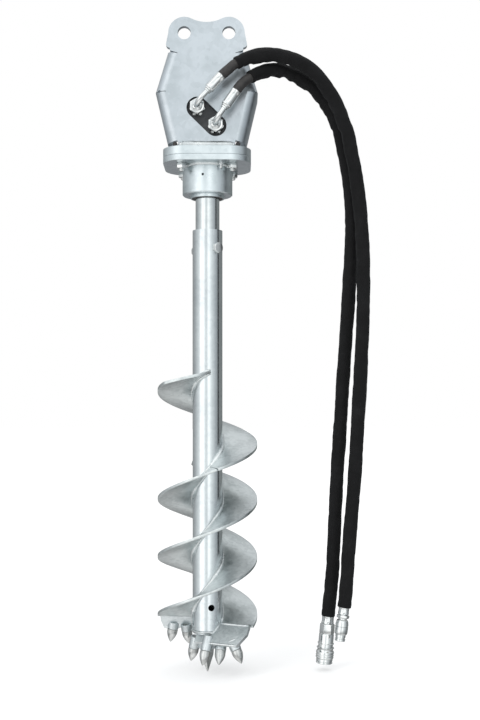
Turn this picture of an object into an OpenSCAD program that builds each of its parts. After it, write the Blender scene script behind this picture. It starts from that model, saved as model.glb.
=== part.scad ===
// Hydraulic earth auger: a formed hood with a motor and a bearing head, an auger bit with bullet teeth,
// and two sleeved hoses with quick couplers. Millimetres. The origin is midway between the two pin holes,
// in the middle of the plate's thickness. +X is right, +Y is back and +Z is up.

/* [Hood] */
// Thickness of the formed hood plate
plate_t = 12; // [8:0.1:14.5]
// Distance between the two pin holes
pin_spacing = 87; // [80:1:94]
// Diameter of a pin hole
pin_hole_d = 25.6; // [20:0.2:30]
// Radius of the ear round a pin hole
ear_r = 31; // [27:1:34]
// Height of the saddle between the ears, above the pin holes
saddle_h = 21; // [17:1:24]
// Width of the ear where it meets the notches
ear_w = 158; // [150:1:164]
// Width of the hood at its shoulder
hood_w = 201; // [190:1:210]
// Width of the hood at its foot
foot_w = 150; // [146:1:160]
// Height of the pin holes above the hood's foot
hood_drop = 221; // [190:1:270]
// Depth of the bent side flanges behind the plate
side_depth = 84; // [60:1:110]
// Outer radius of the side bends
bend_r = 22; // [16:1:26]
// Distance from the middle of the plate back to the auger's axis
axis_y = 60; // [58:1:66]

/* [Flanges and bearing head] */
// Width of the two stacked plates
flange_w = 174; // [164:1:190]
// Depth of the two stacked plates
flange_d = 150; // [144:1:170]
// Corner radius of the two stacked plates
flange_r = 45; // [30:1:55]
// Thickness of the plate under the hood
base_t = 16; // [12:1:20]
// Thickness of the plate on the bearing head
flange_t = 12; // [10:1:16]
// Diameter of the flange bolts
bolt_d = 12; // [10:1:14]
// Wall of the bearing housing round the bearings
housing_wall = 12.5; // [9:0.5:16]
// Length of the bearing housing
housing_l = 57; // [54:1:70]
// Height of a ball bearing's section, from its bore to its rim
bearing_h = 15; // [13:0.5:18]
// Width of a ball bearing
bearing_w = 16; // [14:1:18]

/* [Motor] */
// Diameter of the motor's body
motor_d = 88; // [80:1:106]
// Height of the motor's housing above its flange
motor_h = 84; // [78:1:96]
// Thickness of the motor's mounting flange
motor_flange_t = 12; // [10:1:14]
// Diameter of the motor shaft
motor_shaft_d = 25; // [20:1:28]
// Thickness of the rotor set
rotor_t = 18; // [12:1:30]
// Thickness of the motor's end cover
cover_t = 16; // [12:1:20]
// Sideways distance between the two ports
port_dx = 36; // [32:1:40]
// Height difference between the two ports
port_dz = 35; // [32:1:40]
// Height of the middle of the ports above the hood's foot
port_rise = 58; // [54:1:62]
// Radius of the slot round the ports
slot_r = 21; // [19:0.5:23]

/* [Auger] */
// Wall of the auger tube, round the shaft inside it
tube_wall = 6; // [4.5:0.5:8]
// Length of bare shaft between the bearing head and the tube
shaft_gap = 64; // [30:1:90]
// Length of shaft inside the tube
shaft_plug = 100; // [70:1:140]
// Outer diameter of the auger tube
tube_d = 60; // [56:1:72]
// Length of the auger tube
tube_l = 802; // [660:1:970]
// Distance of the cross bolt below the top of the tube
cross_drop = 37; // [26:1:60]
// Diameter of the cross bolt
cross_d = 12; // [10:1:14]
// Diameter over the flights
flight_d = 200; // [180:1:240]
// Thickness of the flights
flight_t = 6; // [4:0.5:8]
// Rise of the upper flight in one turn
pitch_upper = 210; // [180:1:230]
// Rise of the lower flights in one turn
pitch_lower = 231; // [200:1:240]
// Thickness of the cutting plates
cutter_t = 8; // [6:1:10]
// Length of the cutting plates down their slope
cutter_l = 45; // [40:1:50]
// Slope of the cutting plates
cutter_slope = 50; // [44:1:56]
// Diameter of a bullet tooth's collar
tooth_d = 21; // [18:0.1:25.5]
// Length of a bullet tooth below its holder
tooth_l = 28; // [24:1:34]
// Diameter of a bullet tooth's shank
shank_d = 12; // [10:0.5:13]
// Length of the pilot below the end plug
pilot_l = 49; // [40:1:60]

/* [Hoses] */
// Outer diameter of a hose
hose_d = 19; // [16:0.5:21]
// Outer diameter of a woven sleeve
sleeve_d = 28; // [25:0.5:28]
// Length of a crimped ferrule at the motor
ferrule_l = 38; // [30:1:44]
// Size across the flats of a hose nut
nut_af = 27; // [24:1:30]
// Diameter of the plug's nose
nose_d = 20.5; // [19:0.1:21]
// Travel of the socket's locking sleeve
sleeve_travel = 6; // [4:0.5:8]
// Travel of a coupler's valve
valve_travel = 5; // [3:0.5:6]

/* [Fits] */
// Radial clearance of a turning or sliding fit
run_gap = 0.08; // [0.04:0.01:0.1]
// Clearance of seated and pressed pieces
seat_gap = 0.05; // [0.02:0.01:0.1]
// Clearance between pieces that move past each other
move_gap = 0.4; // [0.3:0.1:0.6]

/* [Hidden] */
$fn = 64;

// Levels from the hood's foot down to the tube, and from the tube down to the tip
foot_z = -hood_drop;
base_bottom = foot_z - base_t;
flange_bottom = base_bottom - flange_t;
housing_bottom = flange_bottom - housing_l;
carrier_lip = 6;
tube_top = housing_bottom - carrier_lip - shaft_gap;
shaft_bottom = tube_top - shaft_plug;
cross_z = tube_top - cross_drop;
tube_bottom = tube_top - tube_l;
motor_top = foot_z + motor_flange_t + motor_h;
rotor_top = motor_top + rotor_t;
cover_top = rotor_top + cover_t;

// Hood outline on the right side, from the notch over the shoulder to the foot
notch_z = -33;
shoulder_z = -113;
notch_pt = [ear_w / 2 - 3, notch_z];
shoulder_pt = [hood_w / 2, shoulder_z];
foot_pt = [foot_w / 2, foot_z];
foot_slot = 7;
bend_in = bend_r - plate_t;
// The flat plate runs this far into a bend, and the bend is set back by a hair
bend_lap = 1.5;
bend_set = 0.05;
mitre_gap = 1;
// Nick and slit between an ear and the side flange under it, and the blind hole on the shoulder's bend
nick_w = 5;
slit_w = 1.2;
flange_trim = 1;
relief_r = 2.7;
relief_in = 8;

// Bearing head: the shaft fills the tube, and the bearings and their housing follow the shaft
shaft_d = tube_d - 2 * tube_wall;
journal_step = 1.5;
bearing_bore = shaft_d - 2 * journal_step;
bearing_d = bearing_bore + 2 * bearing_h;
housing_d = bearing_d + 2 * housing_wall;
housing_chamfer = 3;
grease_d = 5;
grease_turn = -9;
grease_drop = 23;
bolt_edge = 13;
bolt_wall = 1.5;
bolt_dx = foot_w / 2 - plate_t - bolt_edge;
bolt_dy = axis_y - plate_t / 2 - hex_af(bolt_d) / 2 - bolt_wall;
bolt_tail = 5;
upper_bearing_top = flange_bottom;
carrier_h = 8;
carrier_top = housing_bottom + carrier_h;
lower_bearing_top = carrier_top + bearing_w;
spacer_wall = 4;
pitch_r = (bearing_d + bearing_bore) / 4;
ball_r = bearing_w * 0.3;
ball_count = 12;
shoulder_gap = ball_r * 0.65;
journal_r = bearing_bore / 2 - seat_gap;
shaft_room = 2;
seal_r = shaft_d / 2 + 7;
seal_w = 8;
seal_bottom = housing_bottom - carrier_lip;
seal_wall = 3;
shaft_nut_h = 10;
shaft_nut_r = bearing_bore / 2 + 6.5;
shaft_nut_room = 4;
shaft_nut_slot = 6;
thread_r = bearing_bore / 2 - 2.5;
thread_tail = 3;
shaft_top = flange_bottom + shaft_nut_h + thread_tail;
pilot_r = 35;
pilot_h = 6;

// Motor details
motor_flange_r = 52;
motor_neck_r = 36;
neck_h = 19;
motor_screw_r = 44;
motor_screw_d = 8;
motor_bolt_r = motor_d / 2 - 7;
motor_bolt_count = 7;
motor_bolt_grip = 20;
key_w = 8;
key_h = 7;
key_l = 30;
key_sink = 4;
key_top = shaft_top - 3;
motor_shaft_bottom = key_top - key_l - 8;
pad_face = plate_t / 2 + 3;
pad_side = 25;
pad_lift = 11;
pad_back = 10;
pad_step = 4;
port_thread_r = 10;
port_depth = axis_y - motor_bolt_r - motor_screw_d / 2 - pad_face + 1;
port_z = foot_z + port_rise;
ports = [[-port_dx / 2, port_z + port_dz / 2], [port_dx / 2, port_z - port_dz / 2]];
rotor_r = 24;
rotor_swell = 3;
ring_room = 4.5;
ring_swell = 1.2;

// Hose ends at the motor: how far each stem has turned up from level, and its pieces
stem_angles = [47, 55];
stem_r = 5.5;
stem_bend = 18;
stem_straight = 14;
adapter_hex_h = 9;
adapter_nose_r = 8;
nut_l = 20;
nut_wall = 8;
nut_back = pad_face - adapter_hex_h - 1;
nut_front = nut_back - nut_l;
stem_in = 7;
stem_out = 3;
stem_y = nut_front - stem_out - stem_bend;
ferrule_d = hose_d + 2;

// Cross bolt and vent, as turns from the front towards the right
cross_turn = 40;
vent_turn = 17;
vent_d = 13;
vent_up = 50;

// Hex sizes across flats for a thread of the given diameter, and head and nut heights
function hex_af(d) = d * 1.58;
function head_h(d) = d * 0.63;
function nut_h(d) = d * 0.9;

// Flights: turns are measured from +X, and a flight runs down as its turn falls
flight_r = flight_d / 2;
flight_step = 6;
flight_taper = 70;
flight_root = 3;
flight_sag = 20;
sag_sweep = 100;
flight_joint = 0.1;
upper_start = 283;
upper_sweep = 360;
lower_sweep = 465;
second_start = 150;
second_sweep = 535;
left_turn = upper_start - upper_sweep - lower_sweep;
right_turn = second_start - second_sweep;
left_z = tube_bottom + 30;
right_z = tube_bottom + 15;
lower_top = left_z + pitch_lower * lower_sweep / 360;
upper_top = lower_top + pitch_upper * upper_sweep / 360;
second_top = right_z + pitch_lower * second_sweep / 360;

// Cutting head
plug_in = 12;
plug_flange_t = 4;
plug_edge = 1;
boss_r = 20;
boss_l = 34;
boss_bottom = tube_bottom - boss_l;
pilot_t = 12;
pilot_turn = 60;
cutter_edge = 5;
right_corner = 15;
left_corner = 5;
right_root = 12;
left_root = 0;
left_l = 0.8 * cutter_l;
cutter_gap = 0.3;
holder_r = tooth_d / 2 + 0.5;
// Distance from the axis at a share of the way from the tube to the rim
function along(share) = tube_d / 2 + share * (flight_r - tube_d / 2);
// Every tooth's collar: turn of its plate, distance out, ahead of the plate's edge and below the tube's end,
// then the tooth's heading from the plate, its lean and its holder's length
tooth_sites = [
    [right_turn, along(0.296) + 2 * holder_r, 1.73 * holder_r, 2.64 * holder_r, 0, 25, 20],
    [right_turn, along(0) + 1.08 * holder_r, 2.43 * holder_r, 3 * holder_r, -75, 35, 22],
    [right_turn, 1.2 * holder_r, 3.16 * holder_r, 3.1 * holder_r, -100, 22, 30],
    [left_turn, along(0) - 0.25 * holder_r, -0.1 * holder_r, 3.2 * holder_r, -28, 15, 24],
    [left_turn, along(0) + 1.21 * holder_r, 2 * holder_r, 0.5 * holder_r, -118, 14, 14],
    [left_turn, along(0.1) + 3.18 * holder_r, 1.95 * holder_r, 0.15 * holder_r, -28, 12, 14]
];

// Hose routes, from the motor's ferrules to the couplers
plug_route = [
    [44, -45, -83], [58, -44, -72], [89, -41, -58], [120, -35, -53], [151, -28, -54],
    [183, -20, -64], [215, -10, -85], [249, 2, -128], [267, 10, -166], [280, 17, -203],
    [296, 28, -280], [308, 36, -388], [311, 39, -506], [307, 40, -626], [301, 41, -745],
    [294, 42, -865], [284, 42, -985], [277, 42, -1090], [273, 42, -1128]
];
socket_route = [
    [74, -40, -105], [105, -25, -83], [137, -6, -73], [170, 10, -77], [202, 23, -92],
    [234, 35, -122], [256, 44, -158], [268, 51, -196], [284, 61, -273], [290, 66, -342],
    [289, 69, -413], [283, 71, -534], [271, 73, -715], [260, 75, -898], [253, 77, -1050],
    [246, 78, -1130], [244, 78, -1152]
];
route_steps = 3;
// Steps along each hose's path that its woven sleeve leaves bare
sleeve_start = [6, 4];

// Couplers: lean from upright, and lengths along the axis from the hose's end
plug_lean = 7.5;
socket_lean = 5;
plug_ferrule_l = 14;
plug_ferrule_wall = 1.5;
plug_hex_af = 22;
plug_hex_l = 10;
plug_neck_l = 6;
plug_neck_step = 3;
plug_slope = 4;
plug_body_r = 13;
plug_len = 68;
nose_l = 13;
socket_ferrule_l = 16;
socket_ferrule_wall = 3;
socket_hex_af = 26;
socket_hex_l = 21;
socket_body_r = 15;
socket_len = 97;
collar_l = 11;
collar_r = 16.5;
lock_r = 18;
lock_l = 22;
lock_bottom = collar_l - socket_len + move_gap;
groove_r = 2.5;
groove_drop = 4;
stop_r = 16.5;
stop_t = 2;
mouth_r = nose_d / 2 + seat_gap;
mouth_l = 28;
valve_r = 6;
valve_l = 14;
valve_slope = 3;
valve_tip_r = 4;

// Shared shapes

// Moves a piece to the auger's axis
module on_axis() {
    translate([0, axis_y, 0]) children();
}

// Upright cylinder between two levels
module drum(r, top, bottom) {
    translate([0, 0, bottom]) cylinder(r = r, h = top - bottom);
}

// Upright ring between two levels, with the bore cut clear through
module ring(r, bore, top, bottom) {
    difference() {
        drum(r, top, bottom);
        drum(bore, top + 1, bottom - 1);
    }
}

// Upright hexagonal prism between two levels
module hex(af, top, bottom) {
    translate([0, 0, bottom]) cylinder(d = af / cos(30), h = top - bottom, $fn = 6);
}

// Points of an arc about a centre
function arc(centre, r, from, to, step = 6) =
    [for (i = [0:ceil(abs(to - from) / step)])
        let (a = from + (to - from) * i / ceil(abs(to - from) / step))
        centre + r * [cos(a), sin(a)]];

// Outline of a rectangle with round corners
function round_rect(w, d, r) = concat(
    arc([w / 2 - r, d / 2 - r], r, 0, 90),
    arc([r - w / 2, d / 2 - r], r, 90, 180),
    arc([r - w / 2, r - d / 2], r, 180, 270),
    arc([w / 2 - r, r - d / 2], r, 270, 360));

// Sets children at each of the four flange bolts
module at_flange_bolts() {
    for (x = [-1, 1], y = [-1, 1])
        translate([x * bolt_dx, y * bolt_dy, 0]) children();
}

// Sets children at evenly spaced turns on a circle
module around(count, r, first = 0) {
    for (i = [0:count - 1])
        rotate([0, 0, first + i * 360 / count]) translate([r, 0, 0]) children();
}

// Turns children from +Z to face the front, at a place on the hood
module facing_front(x, y, z) {
    translate([x, y, z]) rotate([90, 0, 0]) children();
}

// Hood

function unit(v) = v / norm(v);
function outward(a, b) = let (d = unit(b - a)) [-d[1], d[0]];
function cross2(a, b) = a[0] * b[1] - a[1] * b[0];
// Crossing of the line through p along d with the line through q along e
function meet(p, d, q, e) = p + d * cross2(q - p, e) / cross2(d, e);

upper_out = outward(notch_pt, shoulder_pt);
lower_out = outward(shoulder_pt, foot_pt);
upper_bend = notch_pt - (bend_r - bend_lap) * upper_out;
slit_up = (flange_trim - slit_w) * unit(shoulder_pt - notch_pt);
lower_bend = foot_pt - (bend_r - bend_lap) * lower_out;
inner_shoulder = meet(upper_bend, shoulder_pt - notch_pt, lower_bend, foot_pt - shoulder_pt);
inner_foot = meet(lower_bend, foot_pt - shoulder_pt, foot_pt, [1, 0]);
relief_pt = shoulder_pt - relief_in * unit(shoulder_pt - inner_shoulder);
saddle_r = (pow(pin_spacing / 2, 2) + pow(saddle_h, 2) - pow(ear_r, 2)) / (2 * (ear_r - saddle_h));
saddle_half = atan(pin_spacing / 2 / (saddle_h + saddle_r));

// Right half of the flat plate's outline, from the saddle round the ear and down to the foot
hood_half = concat(
    arc([0, saddle_h + saddle_r], saddle_r, 270, 270 + saddle_half),
    arc([pin_spacing / 2, 0], ear_r, 90 + saddle_half, 0),
    arc([ear_w / 2 - 7, notch_z + 11], 7, 0, -90),
    [notch_pt - nick_w * upper_out + slit_up, upper_bend + slit_up],
    [inner_shoulder, inner_foot]);
function mirrored(points) = [for (i = [len(points) - 1:-1:0]) [-points[i][0], points[i][1]]];

// One bent side flange between two points of the outline
module side_flange(a, b, top_trim, bottom_trim) {
    run = norm(b - a);
    out = outward(a, b);
    start = a - bend_r * out + top_trim * unit(b - a);
    translate([start[0], 0, start[1]])
        rotate([0, atan2(a[0] - b[0], a[1] - b[1]), 0])
            translate([0, 0, top_trim + bottom_trim - run])
                linear_extrude(run - top_trim - bottom_trim) translate([0, bend_set]) bend_section();
}

// Block on one side of the mitre where the upper and lower side flanges meet
module beside_mitre(bottom) {
    out = shoulder_pt - inner_shoulder;
    translate([shoulder_pt[0], 0, shoulder_pt[1]]) rotate([0, -atan2(out[1], out[0]), 0])
        translate([-hood_w / 2, -plate_t, bottom]) cube([hood_w, side_depth + 2 * plate_t, hood_drop]);
}

// Section of a side flange, square to its edge: a lap in the plate, the bend and the straight leg
module bend_section() {
    translate([-bend_lap, -plate_t / 2]) square([bend_lap, plate_t]);
    translate([0, bend_r - plate_t / 2]) intersection() {
        difference() {
            circle(r = bend_r);
            circle(r = bend_in);
        }
        translate([0, -bend_r]) square(bend_r);
    }
    translate([bend_in, bend_r - plate_t / 2]) square([plate_t, side_depth - bend_r]);
}

module hood_plate() {
    color("gainsboro") difference() {
        union() {
            rotate([90, 0, 0])
                linear_extrude(plate_t, center = true) polygon(concat(hood_half, mirrored(hood_half)));
            for (side = [0, 1]) mirror([side, 0, 0]) {
                intersection() {
                    side_flange(notch_pt, shoulder_pt, flange_trim, -bend_r);
                    beside_mitre(mitre_gap / 2);
                }
                intersection() {
                    side_flange(shoulder_pt, foot_pt, -bend_r, foot_slot);
                    beside_mitre(-hood_drop - mitre_gap / 2);
                }
            }
        }
        for (x = [-1, 1])
            facing_front(x * pin_spacing / 2, plate_t, 0) cylinder(d = pin_hole_d, h = 2 * plate_t);
        for (x = [-1, 1])
            facing_front(x * relief_pt[0], plate_t, relief_pt[1]) cylinder(r = relief_r, h = 2 * plate_t);
        port_slot();
    }
}

// Slanted slot that the hose fittings come out of
module port_slot() {
    slant = atan2(port_dz, port_dx);
    facing_front(0, plate_t, 0) linear_extrude(2 * plate_t) polygon(concat(
        arc(ports[0], slot_r, 90 - slant, 270 - slant),
        arc(ports[1], slot_r, -90 - slant, 90 - slant)));
}

// Flanges and bearing head

// One of the two stacked plates, with its bore and its bolt holes
module stacked_plate(top, t, bore) {
    on_axis() difference() {
        translate([0, 0, top - t]) linear_extrude(t) polygon(round_rect(flange_w, flange_d, flange_r));
        drum(bore, top + 1, top - t - 1);
        at_flange_bolts() drum(bolt_d / 2 + move_gap, top + 1, top - t - 1);
        children();
    }
}

module hood_base_plate() {
    color("lightgray") stacked_plate(foot_z, base_t, pilot_r + seat_gap)
        around(4, motor_screw_r) drum(motor_screw_d / 2 + seat_gap, foot_z + 1, base_bottom - 1);
}

module flange_plate() {
    color("silver") stacked_plate(base_bottom, flange_t, shaft_nut_r + shaft_nut_room);
}

module flange_bolts() {
    color("white") on_axis() at_flange_bolts() {
        hex(hex_af(bolt_d), foot_z + head_h(bolt_d), foot_z);
        drum(bolt_d / 2, foot_z + 1, flange_bottom - nut_h(bolt_d) - bolt_tail);
    }
}

// The nuts are turned so that a flat of each faces the bearing housing
module flange_nuts() {
    turn = atan2(bolt_dy, bolt_dx) + 30;
    color("white") on_axis() for (x = [0, 1], y = [0, 1]) mirror([x, 0, 0]) mirror([0, y, 0])
        translate([bolt_dx, bolt_dy, 0]) difference() {
            rotate([0, 0, turn]) hex(hex_af(bolt_d), flange_bottom, flange_bottom - nut_h(bolt_d));
            drum(bolt_d / 2 + seat_gap, flange_bottom + 1, flange_bottom - nut_h(bolt_d) - 1);
        }
}

module bearing_housing() {
    r = housing_d / 2;
    color("silver") on_axis() difference() {
        drum(r, flange_bottom, housing_bottom);
        drum(bearing_d / 2 + seat_gap, flange_bottom + 1, housing_bottom - 1);
        rotate([0, 0, grease_turn]) facing_front(0, -bearing_d / 2, flange_bottom - grease_drop)
            cylinder(d = grease_d, h = r);
        translate([0, 0, housing_bottom]) rotate_extrude()
            polygon([[r + 1, housing_chamfer], [r + 1, -1], [r - housing_chamfer, -1]]);
    }
}

// Half section of a bearing with the ball groove cut out of both rings
module bearing_ring(top, r, bore) {
    on_axis() translate([0, 0, top - bearing_w]) rotate_extrude() difference() {
        translate([bore, 0]) square([r - bore, bearing_w]);
        translate([pitch_r, bearing_w / 2]) circle(r = ball_r + move_gap / 2);
    }
}

module bearing_outer(top) {
    color("slategray") bearing_ring(top, bearing_d / 2, pitch_r + shoulder_gap);
}

module bearing_inner(top) {
    color("slategray") bearing_ring(top, pitch_r - shoulder_gap, bearing_bore / 2);
}

module bearing_balls(top) {
    color("white") on_axis()
        around(ball_count, pitch_r) translate([0, 0, top - bearing_w / 2]) sphere(r = ball_r);
}

module bearing_spacer() {
    color("gray") on_axis()
        ring(bearing_d / 2, bearing_d / 2 - spacer_wall, upper_bearing_top - bearing_w, lower_bearing_top);
}

module seal_carrier() {
    color("silver") on_axis() difference() {
        union() {
            drum(bearing_d / 2, carrier_top, housing_bottom);
            drum(seal_r + seal_wall, carrier_top - 1, seal_bottom);
        }
        drum(shaft_d / 2 + shaft_room, carrier_top + 1, seal_bottom - 1);
        drum(seal_r + seat_gap, seal_bottom + seal_w, seal_bottom - 1);
    }
}

module shaft_seal() {
    color("dimgray") on_axis() ring(seal_r, shaft_d / 2 + move_gap, seal_bottom + seal_w, seal_bottom);
}

// Box for the drive key, or for its keyway with a clearance
module key_box(gap) {
    translate([-key_w / 2 - gap, motor_shaft_d / 2 - key_sink, key_top - key_l - gap])
        cube([key_w + 2 * gap, key_h + gap, key_l + 2 * gap]);
}

module output_shaft() {
    color("silver") on_axis() difference() {
        union() {
            drum(thread_r, shaft_top, flange_bottom - 1);
            drum(journal_r, flange_bottom, carrier_top);
            drum(shaft_d / 2, carrier_top, shaft_bottom);
        }
        drum(motor_shaft_d / 2 + seat_gap, shaft_top + 1, motor_shaft_bottom - 2);
        key_box(seat_gap);
        cross_axis() cylinder(d = cross_d + 2 * move_gap, h = tube_d, center = true);
    }
}

module shaft_nut() {
    color("dimgray") on_axis() difference() {
        drum(shaft_nut_r, flange_bottom + shaft_nut_h, flange_bottom);
        drum(thread_r + seat_gap, flange_bottom + shaft_nut_h + 1, flange_bottom - 1);
        around(4, shaft_nut_r) translate([0, 0, flange_bottom + shaft_nut_h / 2])
            cube([shaft_nut_slot, shaft_nut_slot, shaft_nut_h + 2], center = true);
    }
}

// Motor

module motor_housing() {
    neck_top = foot_z + motor_flange_t + neck_h;
    pad_w = port_dx + 2 * pad_side;
    pad_bottom = foot_z + motor_flange_t + pad_lift;
    color([0.12, 0.12, 0.13]) difference() {
        union() {
            on_axis() {
                drum(pilot_r, foot_z + 1, foot_z - pilot_h);
                drum(motor_flange_r, foot_z + motor_flange_t, foot_z);
                drum(motor_neck_r, neck_top + 1, foot_z + 1);
                drum(motor_d / 2, motor_top, neck_top);
            }
            translate([-pad_w / 2, pad_face, pad_bottom])
                cube([pad_w, axis_y - pad_face - pad_back, motor_top - pad_step - pad_bottom]);
        }
        on_axis() {
            drum(motor_shaft_d / 2 + run_gap, motor_top + 1, foot_z - pilot_h - 1);
            around(4, motor_screw_r)
                drum(motor_screw_d / 2 + move_gap, foot_z + motor_flange_t + 1, foot_z - 1);
            around(motor_bolt_count, motor_bolt_r)
                drum(motor_screw_d / 2 + seat_gap, motor_top + 1, motor_top - motor_bolt_grip - 1);
        }
        for (port = ports)
            facing_front(port[0], pad_face + port_depth, port[1])
                cylinder(r = port_thread_r + seat_gap, h = port_depth + 1);
    }
}

module motor_screws() {
    top = foot_z + motor_flange_t;
    color("dimgray") on_axis() around(4, motor_screw_r) difference() {
        union() {
            drum(motor_screw_d * 0.8, top + motor_screw_d, top);
            drum(motor_screw_d / 2, top + 1, foot_z - base_t + 2);
        }
        hex(motor_screw_d * 0.75, top + motor_screw_d + 1, top + motor_screw_d / 2);
    }
}

module motor_shaft() {
    color("gray") on_axis() difference() {
        drum(motor_shaft_d / 2, rotor_top - 1, motor_shaft_bottom);
        key_box(seat_gap);
    }
}

module drive_key() {
    color("gold") on_axis() key_box(0);
}

// Outline of a rotor with the given number of lobes
function lobes(count, r, swell) = [for (a = [0:3:357]) (r + swell * cos(count * a)) * [cos(a), sin(a)]];

module gerotor_ring() {
    color("gray") on_axis() difference() {
        drum(motor_d / 2, rotor_top, motor_top);
        translate([0, 0, motor_top - 1]) linear_extrude(rotor_t + 2)
            polygon(lobes(motor_bolt_count, rotor_r + ring_room, ring_swell));
        around(motor_bolt_count, motor_bolt_r)
            drum(motor_screw_d / 2 + move_gap, rotor_top + 1, motor_top - 1);
    }
}

module gerotor_star() {
    color("lightsteelblue") on_axis() difference() {
        translate([0, 0, motor_top + move_gap]) linear_extrude(rotor_t - 2 * move_gap)
            polygon(lobes(motor_bolt_count - 1, rotor_r, rotor_swell));
        drum(motor_shaft_d / 2 + seat_gap, rotor_top + 1, motor_top - 1);
    }
}

module motor_end_cover() {
    color([0.12, 0.12, 0.13]) on_axis() difference() {
        drum(motor_d / 2, cover_top, rotor_top);
        around(motor_bolt_count, motor_bolt_r)
            drum(motor_screw_d / 2 + move_gap, cover_top + 1, rotor_top - 1);
    }
}

module motor_bolts() {
    color("dimgray") on_axis() around(motor_bolt_count, motor_bolt_r) {
        hex(hex_af(motor_screw_d), cover_top + head_h(motor_screw_d), cover_top);
        drum(motor_screw_d / 2, cover_top + 1, motor_top - motor_bolt_grip);
    }
}

// Hose ends at the motor

module port_adapters() {
    color("gainsboro") for (port = ports) facing_front(port[0], pad_face, port[1]) {
        drum(port_thread_r, 1, 1 - port_depth);
        hex(nut_af, adapter_hex_h, 0);
        drum(adapter_nose_r, pad_face - nut_front - nut_wall, adapter_hex_h - 1);
    }
}

module hose_nuts() {
    back = pad_face - nut_back;
    color("whitesmoke") for (port = ports) facing_front(port[0], pad_face, port[1]) difference() {
        hex(nut_af, back + nut_l, back);
        drum(adapter_nose_r + seat_gap, back + nut_l - nut_wall, back - 1);
        drum(stem_r + seat_gap, back + nut_l + 1, back);
    }
}

// Centre line of a bent stem, from inside its nut to its ferrule
function stem_dir(i) = [cos(stem_angles[i]), 0, sin(stem_angles[i])];
function stem_path(i) = let (d = stem_dir(i), p = [ports[i][0], 0, ports[i][1]])
    concat(
        [p + [0, nut_front + stem_in, 0]],
        [for (a = [0:15:90])
            p + d * stem_bend * (1 - cos(a)) + [0, nut_front - stem_out - stem_bend * sin(a), 0]],
        [p + d * (stem_bend + stem_straight) + [0, stem_y, 0]]);

function stem_end(i) = let (path = stem_path(i)) path[len(path) - 1];
function hose_start(i) = stem_end(i) + ferrule_l * stem_dir(i);

module hose_stem(i) {
    color("whitesmoke") tube(stem_path(i), stem_r, [-sin(stem_angles[i]), 0, cos(stem_angles[i])]);
}

module hose_ferrule(i) {
    color("white") translate(stem_end(i)) rotate([0, 90 - stem_angles[i], 0]) rotate_extrude() polygon([
        [0, 0], [ferrule_d / 2 - 2, 0], [ferrule_d / 2, 3], [ferrule_d / 2, ferrule_l - 1],
        [ferrule_d / 2 - 1, ferrule_l], [0, ferrule_l]
    ]);
}

// Tubes along a route

// Direction of a path at one of its points, with its two ends set where they are given
function tangent(path, i, ends) =
    i == 0 && ends[0] != undef ? ends[0] :
    i == len(path) - 1 && ends[1] != undef ? ends[1] :
    unit(path[min(i + 1, len(path) - 1)] - path[max(i - 1, 0)]);

// Smooth curve through the points of a route, with a few steps between each two
function blend(a, b, c, d, t) = 0.5 * (2 * b + (c - a) * t + (2 * a - 5 * b + 4 * c - d) * t * t
    + (3 * b - a - 3 * c + d) * t * t * t);
function smooth_route(points) = concat(
    [for (i = [0:len(points) - 2], k = [0:route_steps - 1])
        blend(points[max(i - 1, 0)], points[i], points[i + 1], points[min(i + 2, len(points) - 1)],
              k / route_steps)],
    [points[len(points) - 1]]);

// Ring of points round a path, square to it
function tube_ring(path, i, r, side, sides, ends) =
    let (t = tangent(path, i, ends), u = unit(cross(side, t)), v = cross(t, u))
    [for (k = [0:sides - 1]) path[i] + r * (u * cos(360 * k / sides) + v * sin(360 * k / sides))];

// Two triangles for each side between two rings that start at points a and b
function tube_wall(a, b, sides) = [for (k = [0:sides - 1]) let (n = (k + 1) % sides)
    each [[a + k, b + k, b + n], [a + k, b + n, a + n]]];

// Triangles that fill a ring as a fan
function fan(a, sides) = [for (k = [1:sides - 2]) [a, a + k, a + k + 1]];
function flipped(faces) = [for (f = faces) [f[2], f[1], f[0]]];

// Round solid, or hollow where a bore is given, along a path
module tube(path, r, side, bore = 0, sides = 12, ends = []) {
    n = len(path);
    outer = [for (i = [0:n - 1]) each tube_ring(path, i, r, side, sides, ends)];
    outer_wall = [for (i = [0:n - 2]) each tube_wall(i * sides, (i + 1) * sides, sides)];
    last = (n - 1) * sides;
    if (bore == 0) {
        polyhedron(outer, concat(outer_wall, fan(0, sides), flipped(fan(last, sides))));
    } else {
        count = n * sides;
        inner = [for (i = [0:n - 1]) each tube_ring(path, i, bore, side, sides, ends)];
        inner_wall = [for (i = [0:n - 2]) each tube_wall(count + i * sides, count + (i + 1) * sides, sides)];
        polyhedron(concat(outer, inner), concat(outer_wall, flipped(inner_wall),
            flipped(tube_wall(0, count, sides)), tube_wall(last, count + last, sides)));
    }
}

function hose_path(i) = smooth_route(concat([hose_start(i)], i == 0 ? plug_route : socket_route));
function hose_end_dir(i) = let (lean = i == 0 ? plug_lean : socket_lean) [-sin(lean), 0, -cos(lean)];
function part_of(list, from, to) = [for (i = [from:to]) list[i]];

module hose(i) {
    color([0.1, 0.1, 0.1]) tube(hose_path(i), hose_d / 2, [0, 1, 0], sides = 10,
        ends = [stem_dir(i), hose_end_dir(i)]);
}

// The woven sleeve leaves the hose bare behind the ferrule
module hose_sleeve(i) {
    path = hose_path(i);
    bore = (hose_d / 2 + move_gap) / cos(15);
    color([0.17, 0.17, 0.18])
        tube(part_of(path, sleeve_start[i], len(path) - 1), sleeve_d / 2, [0, 1, 0], bore,
            ends = [undef, hose_end_dir(i)]);
}

// Couplers, drawn downwards from the hose's end

module at_plug() {
    translate(plug_route[len(plug_route) - 1]) rotate([0, plug_lean, 0]) children();
}

module at_socket() {
    translate(socket_route[len(socket_route) - 1]) rotate([0, socket_lean, 0]) children();
}

module plug_ferrule() {
    color("white") at_plug() drum(hose_d / 2 + plug_ferrule_wall, -seat_gap, -plug_ferrule_l);
}

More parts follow.
